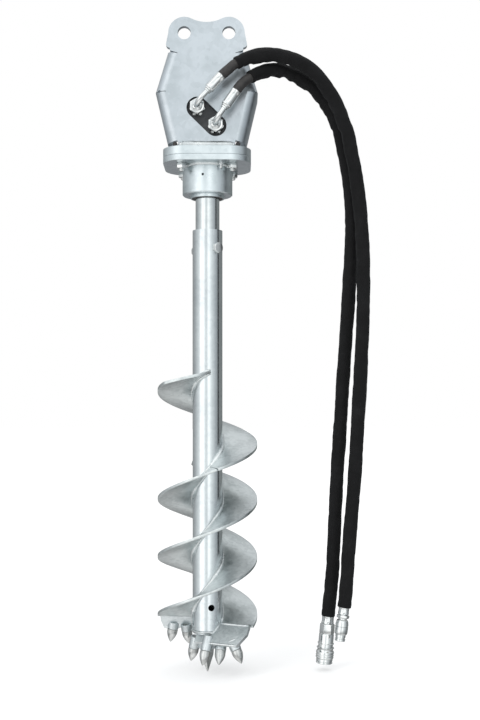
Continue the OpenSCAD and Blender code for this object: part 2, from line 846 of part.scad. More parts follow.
module plug_body() {
    hex_bottom = -plug_ferrule_l - plug_hex_l;
    neck_r = plug_body_r - plug_neck_step;
    neck_bottom = hex_bottom - plug_neck_l;
    body_bottom = nose_l - plug_len;
    color("gainsboro") at_plug() difference() {
        union() {
            hex(plug_hex_af, -plug_ferrule_l, hex_bottom);
            rotate_extrude() polygon([
                [0, hex_bottom + 1], [neck_r, hex_bottom + 1], [neck_r, neck_bottom],
                [plug_body_r, neck_bottom - plug_slope], [plug_body_r, body_bottom + plug_slope],
                [nose_d / 2, body_bottom], [nose_d / 2, -plug_len], [0, -plug_len]
            ]);
        }
        drum(valve_r + run_gap, -plug_len + valve_l + valve_travel + move_gap, -plug_len - 1);
    }
}

// Valve that closes a coupler, with a tapered tip
module valve(bottom) {
    color("goldenrod") translate([0, 0, bottom]) rotate_extrude()
        polygon([[0, 0], [valve_tip_r, 0], [valve_r, valve_slope], [valve_r, valve_l], [0, valve_l]]);
}

module plug_valve() {
    at_plug() valve(-plug_len + move_gap / 2);
}

module socket_ferrule() {
    color("white") at_socket() drum(hose_d / 2 + socket_ferrule_wall, -seat_gap, -socket_ferrule_l);
}

// Body of the socket, with a stop ring at the top of the locking sleeve's travel
module socket_body() {
    hex_bottom = -socket_ferrule_l - socket_hex_l;
    stop_bottom = lock_bottom + lock_l + sleeve_travel + move_gap;
    color("gainsboro") at_socket() difference() {
        union() {
            hex(socket_hex_af, -socket_ferrule_l, hex_bottom);
            drum(socket_body_r, hex_bottom + 1, -socket_len);
            drum(stop_r, stop_bottom + stop_t, stop_bottom);
            drum(collar_r, collar_l - socket_len, -socket_len);
        }
        drum(mouth_r, mouth_l - socket_len, -socket_len - 1);
        drum(valve_r + run_gap, mouth_l - socket_len + valve_l + valve_travel + move_gap, -socket_len);
    }
}

module socket_lock_sleeve() {
    top = lock_bottom + lock_l;
    color("silver") at_socket() difference() {
        ring(lock_r, socket_body_r + run_gap, top, lock_bottom);
        translate([0, 0, top - groove_drop])
            rotate_extrude() translate([lock_r + 1, 0]) circle(r = groove_r);
    }
}

module socket_valve() {
    at_socket() valve(mouth_l - socket_len + move_gap / 2);
}

// Auger

// Turns children's Z axis along the cross bolt, pointing out at the front
module cross_axis() {
    translate([0, 0, cross_z]) rotate([0, 0, cross_turn]) rotate([90, 0, 0]) children();
}

module auger_tube() {
    color("gainsboro") on_axis() difference() {
        drum(tube_d / 2, tube_top, tube_bottom);
        drum(shaft_d / 2 + move_gap / 2, tube_top + 1, tube_bottom - 1);
        cross_axis() cylinder(d = cross_d + 2 * move_gap, h = 2 * tube_d, center = true);
        translate([0, 0, tube_bottom + vent_up]) rotate([0, 0, vent_turn]) rotate([90, 0, 0])
            cylinder(d = vent_d, h = tube_d);
    }
}

module cross_bolt() {
    reach = tube_d / 2 + seat_gap;
    color("whitesmoke") on_axis() cross_axis() {
        hex(hex_af(cross_d), reach + head_h(cross_d), reach);
        drum(cross_d / 2, reach + 1, -reach - nut_h(cross_d) - bolt_tail);
    }
}

module cross_nut() {
    reach = tube_d / 2 + seat_gap;
    color("whitesmoke") on_axis() cross_axis() difference() {
        hex(hex_af(cross_d), -reach, -reach - nut_h(cross_d));
        drum(cross_d / 2 + seat_gap, 0, -reach - nut_h(cross_d) - 1);
    }
}

// Four corners of a flight's section at one step: inner top, outer top, outer bottom, inner bottom
function flight_section(turn, inner, outer, z) = let (d = [cos(turn), sin(turn)])
    [for (p = [[inner, 1], [outer, 1], [outer, -1], [inner, -1]])
        [d[0] * p[0], d[1] * p[0], z + p[1] * flight_t / 2]];

// One flight that runs down from its first turn, with a tapered and flattened start if it has one
module flight(first, sweep, top, pitch, tapered) {
    steps = ceil(sweep / flight_step);
    inner = tube_d / 2 / cos(flight_step / 2) + seat_gap;
    points = [for (i = [0:steps]) let (
            a = sweep * i / steps,
            grow = tapered ? min(a / flight_taper, 1) : 1,
            sag = tapered ? flight_sag * pow(1 - min(a / sag_sweep, 1), 2) : 0,
            outer = inner + flight_root + (flight_r - inner - flight_root) * grow)
        each flight_section(first - a, inner, outer, top - pitch * a / 360 - sag)];
    walls = [for (i = [0:steps - 1]) each tube_wall(4 * i, 4 * i + 4, 4)];
    on_axis() polyhedron(points, concat(walls, fan(0, 4), flipped(fan(4 * steps, 4))));
}

module flight_upper() {
    color("silver") flight(upper_start, upper_sweep - flight_joint, upper_top, pitch_upper, true);
}

module flight_lower() {
    color("silver") flight(upper_start - upper_sweep, lower_sweep, lower_top, pitch_lower, false);
}

module flight_second() {
    color("silver") flight(second_start, second_sweep, second_top, pitch_lower, true);
}

// Solid of revolution that closes the tube and carries the pilot
module plug_shape(gap) {
    drum(shaft_d / 2 + move_gap / 2 - seat_gap + gap, tube_bottom + plug_in, tube_bottom - 1);
    drum(tube_d / 2 - plug_edge + gap, tube_bottom, tube_bottom - plug_flange_t);
    drum(boss_r + gap, tube_bottom - 1, boss_bottom - gap);
}

module end_plug() {
    color("gainsboro") on_axis() difference() {
        plug_shape(0);
        for (site = tooth_sites) at_tooth(site) tooth_space(site[6]);
    }
}

// Pilot: a blade that narrows to a point, seen from its face and from its edge
module pilot_point() {
    root = boss_r - 3;
    waist = boss_r - 6;
    tip = 1;
    color("lightgray") on_axis() rotate([0, 0, pilot_turn]) translate([0, 0, boss_bottom]) rotate([90, 0, 0])
        intersection() {
            linear_extrude(pilot_t, center = true) polygon([
                [-root, 0], [root, 0], [waist, -pilot_l / 3],
                [tip, -pilot_l], [-tip, -pilot_l], [-waist, -pilot_l / 3]
            ]);
            rotate([0, 90, 0]) linear_extrude(2 * root, center = true) polygon([
                [-pilot_t / 2, 0], [pilot_t / 2, 0], [pilot_t / 2, -pilot_l / 3],
                [tip, -pilot_l], [-tip, -pilot_l], [-pilot_t / 2, -pilot_l / 3]
            ]);
        }
}

// Turns children to a tooth's place, with -Z towards its tip
module at_tooth(site) {
    rotate([0, 0, site[0]]) translate([site[1], -site[2], tube_bottom - site[3]])
        rotate([0, 0, site[4]]) rotate([0, -site[5], 0]) children();
}

// Room that a holder and its turning tooth take up
module tooth_space(holder_l) {
    drum(holder_r + seat_gap, holder_l + move_gap + seat_gap, -1);
    drum(tooth_d / 2 + 2 * move_gap, 0, -tooth_l);
}

// Sloping plate of some length at the lower end of a flight, cut round the tube and the teeth
module cutting_plate(turn, z, l, corner, root) {
    lead = cutter_t / 2 * sin(cutter_slope) + cutter_gap;
    reach = flight_r - cutter_edge;
    color("lightgray") on_axis() difference() {
        rotate([0, 0, turn]) translate([0, -lead, z]) rotate([cutter_slope, 0, 0])
            linear_extrude(cutter_t, center = true) polygon([
                [-root, 0], [reach, 0], [reach, -l * 0.4], [reach - corner, -l], [-root, -l]
            ]);
        drum(tube_d / 2 + seat_gap, tube_top, tube_bottom - seat_gap);
        plug_shape(seat_gap);
        for (site = tooth_sites) at_tooth(site) tooth_space(site[6]);
    }
}

module cutting_plate_right() {
    cutting_plate(right_turn, right_z, cutter_l, right_corner, right_root);
}

module cutting_plate_left() {
    cutting_plate(left_turn, left_z, left_l, left_corner, left_root);
}

module tooth_holders() {
    color("lightgray") on_axis() for (site = tooth_sites) at_tooth(site)
        ring(holder_r, shank_d / 2 + run_gap, site[6] + move_gap, move_gap);
}

// Bullet tooth: a shank in the holder, a collar, a rounded nose and a hard tip
module tooth(i) {
    holder_l = tooth_sites[i][6];
    color("lightgray") on_axis() at_tooth(tooth_sites[i]) rotate_extrude() polygon([
        [0, holder_l], [shank_d / 2, holder_l], [shank_d / 2, 0], [tooth_d / 2, 0],
        [tooth_d / 2, -tooth_l * 0.25], [tooth_d * 0.45, -tooth_l * 0.42], [tooth_d * 0.36, -tooth_l * 0.6],
        [tooth_d * 0.24, -tooth_l * 0.77], [0.8, -tooth_l], [0, -tooth_l]
    ]);
}

hood_plate();
hood_base_plate();
flange_plate();
flange_bolts();
flange_nuts();
bearing_housing();
bearing_outer(upper_bearing_top);  // upper_bearing_outer
bearing_balls(upper_bearing_top);  // upper_bearing_balls
bearing_inner(upper_bearing_top);  // upper_bearing_inner
bearing_spacer();
bearing_outer(lower_bearing_top);  // lower_bearing_outer
bearing_balls(lower_bearing_top);  // lower_bearing_balls
bearing_inner(lower_bearing_top);  // lower_bearing_inner
seal_carrier();
shaft_seal();
output_shaft();
shaft_nut();
motor_housing();
motor_screws();
motor_shaft();
drive_key();
gerotor_ring();
gerotor_star();
motor_end_cover();
motor_bolts();
port_adapters();
hose_nuts();
hose_stem(0);  // plug_hose_stem
hose_stem(1);  // socket_hose_stem
hose_ferrule(0);  // plug_hose_ferrule
hose_ferrule(1);  // socket_hose_ferrule
hose(0);  // plug_hose
hose(1);  // socket_hose
hose_sleeve(0);  // plug_hose_sleeve
hose_sleeve(1);  // socket_hose_sleeve
plug_ferrule();
plug_body();
plug_valve();
socket_ferrule();
socket_body();
socket_lock_sleeve();
socket_valve();
auger_tube();
cross_bolt();
cross_nut();
flight_upper();
flight_lower();
flight_second();
end_plug();
pilot_point();
cutting_plate_right();
cutting_plate_left();
tooth_holders();
tooth(0);  // right_outer_tooth
tooth(1);  // right_inner_tooth
tooth(2);  // centre_tooth
tooth(3);  // left_inner_tooth
tooth(4);  // left_middle_tooth
tooth(5);  // left_outer_tooth
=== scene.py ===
# Hydraulic earth auger: the hoses, fittings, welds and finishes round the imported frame. Metres.
import math
from collections import namedtuple

import bpy
from mathutils import Matrix, Vector, noise


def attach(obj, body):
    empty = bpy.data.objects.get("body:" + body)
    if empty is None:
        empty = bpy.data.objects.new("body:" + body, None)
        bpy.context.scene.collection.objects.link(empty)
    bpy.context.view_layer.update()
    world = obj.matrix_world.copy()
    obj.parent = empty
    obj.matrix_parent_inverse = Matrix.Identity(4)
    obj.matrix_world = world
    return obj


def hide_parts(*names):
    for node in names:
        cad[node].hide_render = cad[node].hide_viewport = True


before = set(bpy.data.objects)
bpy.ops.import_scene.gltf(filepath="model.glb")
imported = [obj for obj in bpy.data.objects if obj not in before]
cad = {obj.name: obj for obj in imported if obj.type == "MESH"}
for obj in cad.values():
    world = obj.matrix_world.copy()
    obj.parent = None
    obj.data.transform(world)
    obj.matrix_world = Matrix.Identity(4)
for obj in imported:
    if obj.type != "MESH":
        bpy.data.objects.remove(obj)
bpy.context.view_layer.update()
MM = 0.001
AXIS = Vector((0, 60 * MM, 0))
FRONT = Vector((0, -1, 0))
DOWN = Vector((0, 0, -1))
# Steps round a turned piece that is seen close to, and the gap in metres below which points are one
FINE_TURN = 64
ONE_POINT = 0.00001


# Small helpers for working on one piece at a time

def mm(x, y, z):
    return Vector((x, y, z)) * MM


def deselect():
    bpy.ops.object.select_all(action="DESELECT")


def pick(*pieces):
    deselect()
    for piece in pieces:
        piece.select_set(True)
    bpy.context.view_layer.objects.active = pieces[0]


def name_new(name):
    piece = bpy.context.active_object
    piece.name = name
    piece.data.name = name
    return piece


def keep_place():
    bpy.ops.object.transform_apply(location=True, rotation=True, scale=True)


def put(piece, place, along):
    """Stands a piece that was made upright on its base at a place, with its top along a direction."""
    turn = Vector(along).to_track_quat("Z", "Y").to_matrix().to_4x4()
    piece.matrix_world = Matrix.Translation(Vector(place)) @ turn
    pick(piece)
    keep_place()
    return piece


def copy_of(piece, name):
    pick(piece)
    bpy.ops.object.duplicate(linked=False)
    return name_new(name)


def joined(name, pieces):
    pick(*pieces)
    if len(pieces) > 1:
        bpy.ops.object.join()
    return name_new(name)


def apply_modifier(piece, modifier):
    pick(piece)
    bpy.ops.object.modifier_apply(modifier=modifier.name)


def break_edges(piece, width, angle, segments=2):
    """Adds a bevel of a width in mm to the edges that are sharper than an angle in degrees."""
    bevel = piece.modifiers.new("edges", "BEVEL")
    bevel.width = width * MM
    bevel.segments = segments
    bevel.limit_method = "ANGLE"
    bevel.angle_limit = math.radians(angle)
    return bevel


def clean_mesh(gap=ONE_POINT):
    """Makes points at the same place one in the active piece, and turns its faces outwards."""
    bpy.ops.object.mode_set(mode="EDIT")
    bpy.ops.mesh.select_all(action="SELECT")
    bpy.ops.mesh.remove_doubles(threshold=gap)
    bpy.ops.mesh.normals_make_consistent(inside=False)
    bpy.ops.object.mode_set(mode="OBJECT")


def turned(name, profile, steps=48):
    """Turns a profile of (radius, height) points in mm about the upright axis, as on a lathe."""
    deselect()
    bpy.ops.mesh.primitive_plane_add(size=MM, location=(0, 0, 0))
    piece = name_new(name)
    bpy.ops.object.mode_set(mode="EDIT")
    bpy.ops.mesh.select_all(action="SELECT")
    bpy.ops.mesh.merge(type="CENTER")
    radius, height = profile[0]
    bpy.ops.transform.translate(value=(radius * MM, 0, height * MM))
    for next_radius, next_height in profile[1:]:
        step = ((next_radius - radius) * MM, 0, (next_height - height) * MM)
        bpy.ops.mesh.extrude_vertices_move(TRANSFORM_OT_translate={"value": step})
        radius, height = next_radius, next_height
    bpy.ops.mesh.select_all(action="SELECT")
    bpy.ops.mesh.spin(steps=steps, angle=math.tau, center=(0, 0, 0), axis=(0, 0, 1))
    clean_mesh()
    return piece


# Hexagons: the chamfer's inner circle as a share of the flats, its slope, and room round the corners
CHAMFER_SHARE = 0.965
CHAMFER_SLOPE = 0.55
CORNER_ROOM = 0.5


def hexagon(name, flats, low, high, bore=0, flat_foot=False):
    """Cuts a hexagon bar between two heights, with chamfered ends or a flat foot, and may bore it."""
    corner = flats / math.sqrt(3)
    deselect()
    bpy.ops.mesh.primitive_cylinder_add(vertices=6, radius=corner * MM, depth=(high - low) * MM,
                                        location=(0, 0, (high + low) / 2 * MM))
    piece = name_new(name)
    keep_place()
    outside = corner + CORNER_ROOM
    inside = flats / 2 * CHAMFER_SHARE
    rise = (outside - inside) * CHAMFER_SLOPE
    if flat_foot:
        outline = [(bore, low - 1), (outside, low - 1)]
    else:
        outline = [(bore, low - 0.01), (inside, low - 0.01), (outside, low + rise)]
    outline += [(outside, high - rise), (inside, high + 0.01), (bore, high + 0.01)]
    if bore:
        outline.append(outline[0])
    cutter = turned(name + "_chamfer", outline, FINE_TURN)
    cut = piece.modifiers.new("corners", "BOOLEAN")
    cut.operation = "INTERSECT"
    cut.solver = "EXACT"
    cut.object = cutter
    apply_modifier(piece, cut)
    bpy.data.objects.remove(cutter)
    apply_modifier(piece, break_edges(piece, width=0.25, angle=25, segments=1))
    return piece


def drawn_line(name, points, radii, closed=False):
    """A line through points in metres, with a radius at each."""
    line = bpy.data.curves.new(name, "CURVE")
    line.dimensions = "3D"
    run = line.splines.new("POLY")
    run.points.add(len(points) - 1)
    run.use_cyclic_u = closed
    for spot, point, radius in zip(run.points, points, radii):
        spot.co = (*point, 1)
        spot.radius = radius
    piece = bpy.data.objects.new(name, line)
    bpy.context.scene.collection.objects.link(piece)
    return piece


def as_mesh(line, name):
    pick(line)
    bpy.ops.object.convert(target="MESH")
    return name_new(name)


def swept(name, points, radii, sides, closed=False):
    """Runs a round section of changing radius, in mm, along points in metres."""
    line = drawn_line(name, points, radii, closed)
    line.data.bevel_depth = MM
    line.data.bevel_resolution = sides
    line.data.use_fill_caps = not closed
    piece = as_mesh(line, name)
    clean_mesh()
    return piece


# Weld beads, as shares of their size: ripples in turn, slower wandering, and thin ends that grow
RIPPLES = (-0.05, 0.14)
WANDER = 0.16
WANDERS_IN_METRE = 70
THIN_END = 0.55
END_GROWTH = 0.15


def weld_bead(name, points, size, closed=False):
    """A weld run: short overlapping ripples of slightly uneven size along a seam."""
    radii = []
    for i, point in enumerate(points):
        ripple = RIPPLES[i % 2]
        wander = WANDER * noise.noise(Vector(point) * WANDERS_IN_METRE)
        from_end = min(i, len(points) - 1 - i)
        taper = 1 if closed else min(1, THIN_END + END_GROWTH * from_end)
        radii.append(size * (1 + ripple + wander) * taper)
    return swept(name, points, radii, sides=1, closed=closed)


def finish_piece(piece, finish, body, replaced=(), smooth=32):
    """Gives a finished piece its material, its smooth faces and the body that it rides on."""
    pick(piece)
    bpy.ops.object.shade_smooth_by_angle(angle=math.radians(smooth))
    piece.data.materials.clear()
    piece.data.materials.append(finish)
    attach(piece, body)
    if replaced:
        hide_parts(*replaced)
    return piece


def finish_cad(name, finish, edge, merge=0.02):
    """Gives a carried-over node its material, clean faces and softly broken edges, in mm."""
    piece = cad[name]
    pick(piece)
    bpy.ops.mesh.customdata_custom_splitnormals_clear()
    bpy.ops.object.shade_smooth()
    piece.data.materials.clear()
    piece.data.materials.append(finish)
    one_point = piece.modifiers.new("merge", "WELD")
    one_point.merge_threshold = merge * MM
    flat = piece.modifiers.new("flat faces", "DECIMATE")
    flat.decimate_type = "DISSOLVE"
    flat.angle_limit = math.radians(0.4)
    if edge:
        break_edges(piece, edge, angle=38)
    even = piece.modifiers.new("even shading", "WEIGHTED_NORMAL")
    even.weight = 60
    even.keep_sharp = False


# Finishes

def new_finish(name):
    finish = bpy.data.materials.new(name)
    finish.use_nodes = True
    tree = finish.node_tree
    return finish, tree, tree.nodes["Principled BSDF"]


def set_inputs(node, values):
    for key, value in values.items():
        node.inputs[key].default_value = value


def add_node(tree, kind, values=None, **settings):
    """A new shader node with its settings, and the values of its inputs by name or number."""
    made = tree.nodes.new(kind)
    for key, value in settings.items():
        setattr(made, key, value)
    set_inputs(made, values or {})
    return made


def noise_on(tree, where, size, detail=3, rough=0.55):
    """A cloud pattern whose blotches are about the given size in mm."""
    values = {"Scale": 1 / (size * MM), "Detail": detail, "Roughness": rough}
    clouds = add_node(tree, "ShaderNodeTexNoise", values)
    tree.links.new(where, clouds.inputs["Vector"])
    return clouds.outputs["Fac"]


def bands_on(tree, where, direction, scale, wobble):
    """Soft stripes across one direction."""
    bands = add_node(tree, "ShaderNodeTexWave", {"Scale": scale, "Distortion": wobble},
                     wave_type="BANDS", bands_direction=direction)
    tree.links.new(where, bands.inputs["Vector"])
    return bands.outputs["Fac"]


def spread(tree, value, low, high, out_low, out_high):
    """Stretches a pattern's value from one range to another."""
    ends = {"From Min": low, "From Max": high, "To Min": out_low, "To Max": out_high}
    reach = add_node(tree, "ShaderNodeMapRange", ends)
    tree.links.new(value, reach.inputs["Value"])
    return reach.outputs["Result"]


def sum_of(tree, first, second, share):
    """First pattern plus a share of the second."""
    both = add_node(tree, "ShaderNodeMath", {1: share}, operation="MULTIPLY_ADD")
    tree.links.new(second, both.inputs[0])
    tree.links.new(first, both.inputs[2])
    return both.outputs[0]


def product(tree, first, second):
    both = add_node(tree, "ShaderNodeMath", operation="MULTIPLY")
    tree.links.new(first, both.inputs[0])
    tree.links.new(second, both.inputs[1])
    return both.outputs[0]


def tint(tree, value, stops):
    """Colours a pattern with a ramp of (position, linear colour) stops."""
    ramp = add_node(tree, "ShaderNodeValToRGB")
    marks = ramp.color_ramp.elements
    while len(marks) < len(stops):
        marks.new(0.5)
    for mark, (position, colour) in zip(marks, stops):
        mark.position = position
        mark.color = (*colour, 1)
    tree.links.new(value, ramp.inputs["Fac"])
    return ramp.outputs["Color"]


def bump_from(tree, shader, height, distance, strength=1.0):
    values = {"Strength": strength, "Distance": distance * MM}
    bump = add_node(tree, "ShaderNodeBump", values)
    tree.links.new(height, bump.inputs["Height"])
    tree.links.new(bump.outputs["Normal"], shader.inputs["Normal"])


def show_mix(tree, share, first, second, output):
    """Sends two shaders to the output, the second by its share."""
    blend = add_node(tree, "ShaderNodeMixShader")
    for i, source in enumerate((share, first, second)):
        tree.links.new(source, blend.inputs[i])
    tree.links.new(blend.outputs[0], tree.nodes[output].inputs["Surface"])


def zinc_finish(name, dark, pale, spangle, gloss, grain, pits):
    """Zinc-coated steel: crystals of a size in mm, clouded patches, a gloss range and a fine grain."""
    finish, tree, shader = new_finish(name)
    where = add_node(tree, "ShaderNodeTexCoord").outputs["Object"]
    crystals = add_node(tree, "ShaderNodeTexVoronoi", {"Scale": 1 / (spangle * MM)})
    tree.links.new(where, crystals.inputs["Vector"])
    shade = add_node(tree, "ShaderNodeSeparateColor")
    tree.links.new(crystals.outputs["Color"], shade.inputs["Color"])
    patches = noise_on(tree, where, size=55, detail=4)
    both = sum_of(tree, patches, shade.outputs[0], share=0.22)
    colour = tint(tree, both, [(0.3, dark), (0.75, pale)])
    tree.links.new(colour, shader.inputs["Base Color"])
    smears = noise_on(tree, where, size=16, detail=4, rough=0.6)
    wear = sum_of(tree, smears, shade.outputs[1], share=0.3)
    tree.links.new(spread(tree, wear, 0.3, 0.9, *gloss), shader.inputs["Roughness"])
    bump_from(tree, shader, noise_on(tree, where, grain), pits)
    set_inputs(shader, {"Metallic": 1})
    return finish


def steel_finish(name, dark, pale, gloss, grain=1.4, pits=0.003, metal=1.0):
    """Plain bright or dark metal with a fine grain, faint stains and uneven gloss."""
    finish, tree, shader = new_finish(name)
    where = add_node(tree, "ShaderNodeTexCoord").outputs["Object"]
    stains = noise_on(tree, where, size=14, rough=0.5)
    tree.links.new(tint(tree, stains, [(0.3, dark), (0.7, pale)]), shader.inputs["Base Color"])
    smears = noise_on(tree, where, size=8)
    tree.links.new(spread(tree, smears, 0.3, 0.7, *gloss), shader.inputs["Roughness"])
    bump_from(tree, shader, noise_on(tree, where, grain, detail=2), pits)
    set_inputs(shader, {"Metallic": metal})
    return finish


def sleeve_finish():
    """Black woven nylon: a fine twill that follows the sleeve, faded on its high spots."""
    finish, tree, shader = new_finish("woven sleeve")
    where = add_node(tree, "ShaderNodeTexCoord")
    # Threads round the sleeve and along it
    threads = add_node(tree, "ShaderNodeMapping", {"Scale": (40, 620, 1)})
    tree.links.new(where.outputs["UV"], threads.inputs["Vector"])
    weft = bands_on(tree, threads.outputs["Vector"], "DIAGONAL", 0.5, 0.25)
    warp = bands_on(tree, threads.outputs["Vector"], "X", 0.5, 0.25)
    weave = product(tree, weft, warp)
    dust = noise_on(tree, where.outputs["Object"], size=34, detail=5, rough=0.65)
    both = sum_of(tree, dust, weave, share=0.25)
    colour = tint(tree, both, [(0.3, (0.004, 0.004, 0.0042)), (0.6, (0.007, 0.007, 0.0073)),
                               (0.95, (0.018, 0.018, 0.019))])
    tree.links.new(colour, shader.inputs["Base Color"])
    tree.links.new(spread(tree, dust, 0.3, 0.7, 0.68, 0.88), shader.inputs["Roughness"])
    bump_from(tree, shader, weave, 0.25, 0.7)
    set_inputs(shader, {"Specular IOR Level": 0.14, "Sheen Weight": 0.03, "Sheen Roughness": 0.5,
                        "Sheen Tint": (0.8, 0.82, 0.85, 1)})
    return finish


def rubber_finish():
    """Hose rubber with the faint spiral that the curing wrap leaves, and a little dust."""
    finish, tree, shader = new_finish("hose rubber")
    where = add_node(tree, "ShaderNodeTexCoord").outputs["Object"]
    wrap = bands_on(tree, where, "Z", 60, 0.6)
    dust = noise_on(tree, where, size=8, detail=4, rough=0.65)
    colour = tint(tree, dust, [(0.3, (0.012, 0.011, 0.011)), (0.8, (0.04, 0.036, 0.034))])
    tree.links.new(colour, shader.inputs["Base Color"])
    tree.links.new(spread(tree, dust, 0.3, 0.7, 0.42, 0.6), shader.inputs["Roughness"])
    bump_from(tree, shader, wrap, 0.15, 0.6)
    return finish


plate_zinc = zinc_finish("spangled zinc plate", (0.55, 0.61, 0.63), (0.69, 0.75, 0.77),
                         spangle=9, gloss=(0.24, 0.38), grain=3, pits=0.006)
# The hood's zinc is the plate zinc painted darker: painted shade on the hood plate
hood_zinc_painted_shade = zinc_finish("spangled zinc hood with painted shade", (0.44, 0.485, 0.51), (0.55, 0.595, 0.63),
                        spangle=9, gloss=(0.28, 0.37), grain=3, pits=0.006)
tube_zinc = zinc_finish("zinc tube", (0.60, 0.64, 0.66), (0.72, 0.76, 0.77),
                        spangle=7, gloss=(0.12, 0.19), grain=9, pits=0.006)
flight_zinc = zinc_finish("dull zinc flight", (0.50, 0.54, 0.54), (0.74, 0.78, 0.78),
                          spangle=6, gloss=(0.27, 0.46), grain=1.6, pits=0.03)
cutter_zinc = zinc_finish("rough zinc cutter", (0.46, 0.50, 0.51), (0.72, 0.76, 0.77),
                          spangle=4, gloss=(0.26, 0.5), grain=3.2, pits=0.3)
weld_zinc = zinc_finish("zinc over weld", (0.50, 0.54, 0.55), (0.76, 0.79, 0.79),
                        spangle=3, gloss=(0.22, 0.44), grain=1.3, pits=0.15)
fitting_zinc = steel_finish("bright zinc fitting", (0.68, 0.70, 0.70), (0.78, 0.79, 0.78),
                            gloss=(0.11, 0.19))
turned_steel = steel_finish("turned shaft steel", (0.61, 0.645, 0.655), (0.69, 0.725, 0.73),
                            gloss=(0.12, 0.2), grain=3, pits=0.0012)
dark_steel = steel_finish("oiled dark steel", (0.10, 0.10, 0.10), (0.22, 0.22, 0.22),
                          gloss=(0.32, 0.5))
tooth_steel = steel_finish("worn tooth steel", (0.50, 0.51, 0.50), (0.72, 0.73, 0.72),
                           gloss=(0.22, 0.36), grain=1.8, pits=0.02)
race_steel = steel_finish("bearing steel", (0.5, 0.5, 0.5), (0.62, 0.62, 0.62), gloss=(0.1, 0.2))
valve_brass = steel_finish("valve brass", (0.50, 0.34, 0.12), (0.66, 0.47, 0.19), gloss=(0.2, 0.34))
motor_paint = steel_finish("dark motor paint", (0.035, 0.037, 0.04), (0.06, 0.062, 0.066),
                           gloss=(0.4, 0.56), pits=0.08, metal=0.0)
sleeve_cloth = sleeve_finish()
hose_rubber = rubber_finish()


def finish_fitting(piece, node, body="frame", smooth=32):
    """A bright zinc fitting in place of a plain node, or of none."""
    return finish_piece(piece, fitting_zinc, body, [node] if node else (), smooth)


def finish_weld(piece, body):
    return finish_piece(piece, weld_zinc, body, smooth=60)


# Camera at the photo's place, looking straight back

bpy.ops.object.camera_add(location=(0.0653, -2.09, -0.721), rotation=(math.radians(90), 0, 0))
camera = bpy.context.active_object
camera.data.lens = 53.49
camera.data.sensor_width = 36
camera.data.shift_y = 0.0594
bpy.context.scene.camera = camera


# Hoses: each is one tube, bare behind its ferrule and then covered by the woven sleeve

PLUG_LINE = [
    (29.74, -42, -94.3), (44, -45, -83), (58, -44, -72), (89, -41, -58), (120, -35, -53),
    (151, -28, -54), (183, -20, -64), (215, -10, -85), (249, 2, -128), (267, 10, -166),
    (280, 17, -203), (296, 28, -280), (308, 36, -388), (311, 39, -506), (307, 40, -626),
    (301, 41, -745), (294, 42, -865), (284, 42, -985), (277, 42, -1090), (273, 42, -1128)]
SOCKET_LINE = [
    (58.15, -42, -123.16), (74, -40, -105), (105, -25, -83), (137, -6, -73), (170, 10, -77),
    (202, 23, -92), (234, 35, -122), (256, 44, -158), (268, 51, -196), (284, 61, -273),
    (290, 66, -342), (289, 69, -413), (283, 71, -534), (271, 73, -715), (260, 75, -898),
    (253, 77, -1050), (246, 78, -1130), (244, 78, -1152)]
# Radii in mm: the bare rubber, the sleeve's raw edge, its hem, how much wider it gets, its closed end
BARE_R = 9.5
EDGE_R = 11.0
HEM_R = 11.6
SLEEVE_GROWTH = 2.0
END_R = 9.6
# Lengths in metres: between rings, over which the sleeve widens, over which its dents fade out
RING_GAP = 2.6 * MM
WIDENING = 0.045
FADE = 0.03
# Dents in a metre and their depths in mm, with more for a fold on the inside of a bend
LUMPS_IN_METRE = 26
FOLDS_IN_METRE = 85
LUMP_DEPTH = 1.2
FOLD_DEPTH = 0.8
BEND_FOLD_DEPTH = 4.5
# Steps between two points of a route, points round a hose, rings over which its bend is taken
ROUTE_STEPS = 24
AROUND = 36
BEND_REACH = 4


def smooth_line(points):
    """Curve through every point of a route, close enough together to walk along."""
    spots = [mm(*p) for p in points]
    line = []
    for i in range(len(spots) - 1):
        a = spots[max(i - 1, 0)]
        b, c = spots[i], spots[i + 1]
        d = spots[min(i + 2, len(spots) - 1)]
        for k in range(ROUTE_STEPS):
            t = k / ROUTE_STEPS
            line.append(0.5 * (2 * b + (c - a) * t + (2 * a - 5 * b + 4 * c - d) * t * t
                               + (3 * b - a - 3 * c + d) * t ** 3))
    return line + [spots[-1]]


def walk(line, gap):
    """Even steps along a line, and the line's length."""
    ways = [0.0]
    for a, b in zip(line, line[1:]):
        ways.append(ways[-1] + (b - a).length)
    count = max(2, round(ways[-1] / gap))
    steps, k = [], 0
    for i in range(count + 1):
        way = ways[-1] * i / count
        while k < len(line) - 2 and ways[k + 1] < way:
            k += 1
        share = (way - ways[k]) / (ways[k + 1] - ways[k])
        steps.append(line[k].lerp(line[k + 1], min(max(share, 0), 1)))
    return steps, ways[-1]


def swell_at(way, middle, width, height):
    """A smooth rise of a height in mm round one place on a line."""
    return height * math.exp(-((way - middle) / width) ** 2)


def sleeve_radius(way, bare, length):
    """Radius in mm along a hose: bare rubber, then the sleeve's gathered hem, then its full width."""
    if way < bare:
        return BARE_R
    into = way - bare
    left = length - way
    full = HEM_R + SLEEVE_GROWTH * min(into / WIDENING, 1)
    hem = swell_at(into, 0.004, 0.003, 0.55) - swell_at(into, 0.011, 0.0015, 0.5)
    foot = swell_at(left, 0.006, 0.004, 0.5) - swell_at(left, 0.014, 0.0015, 0.5)
    return full + hem + foot


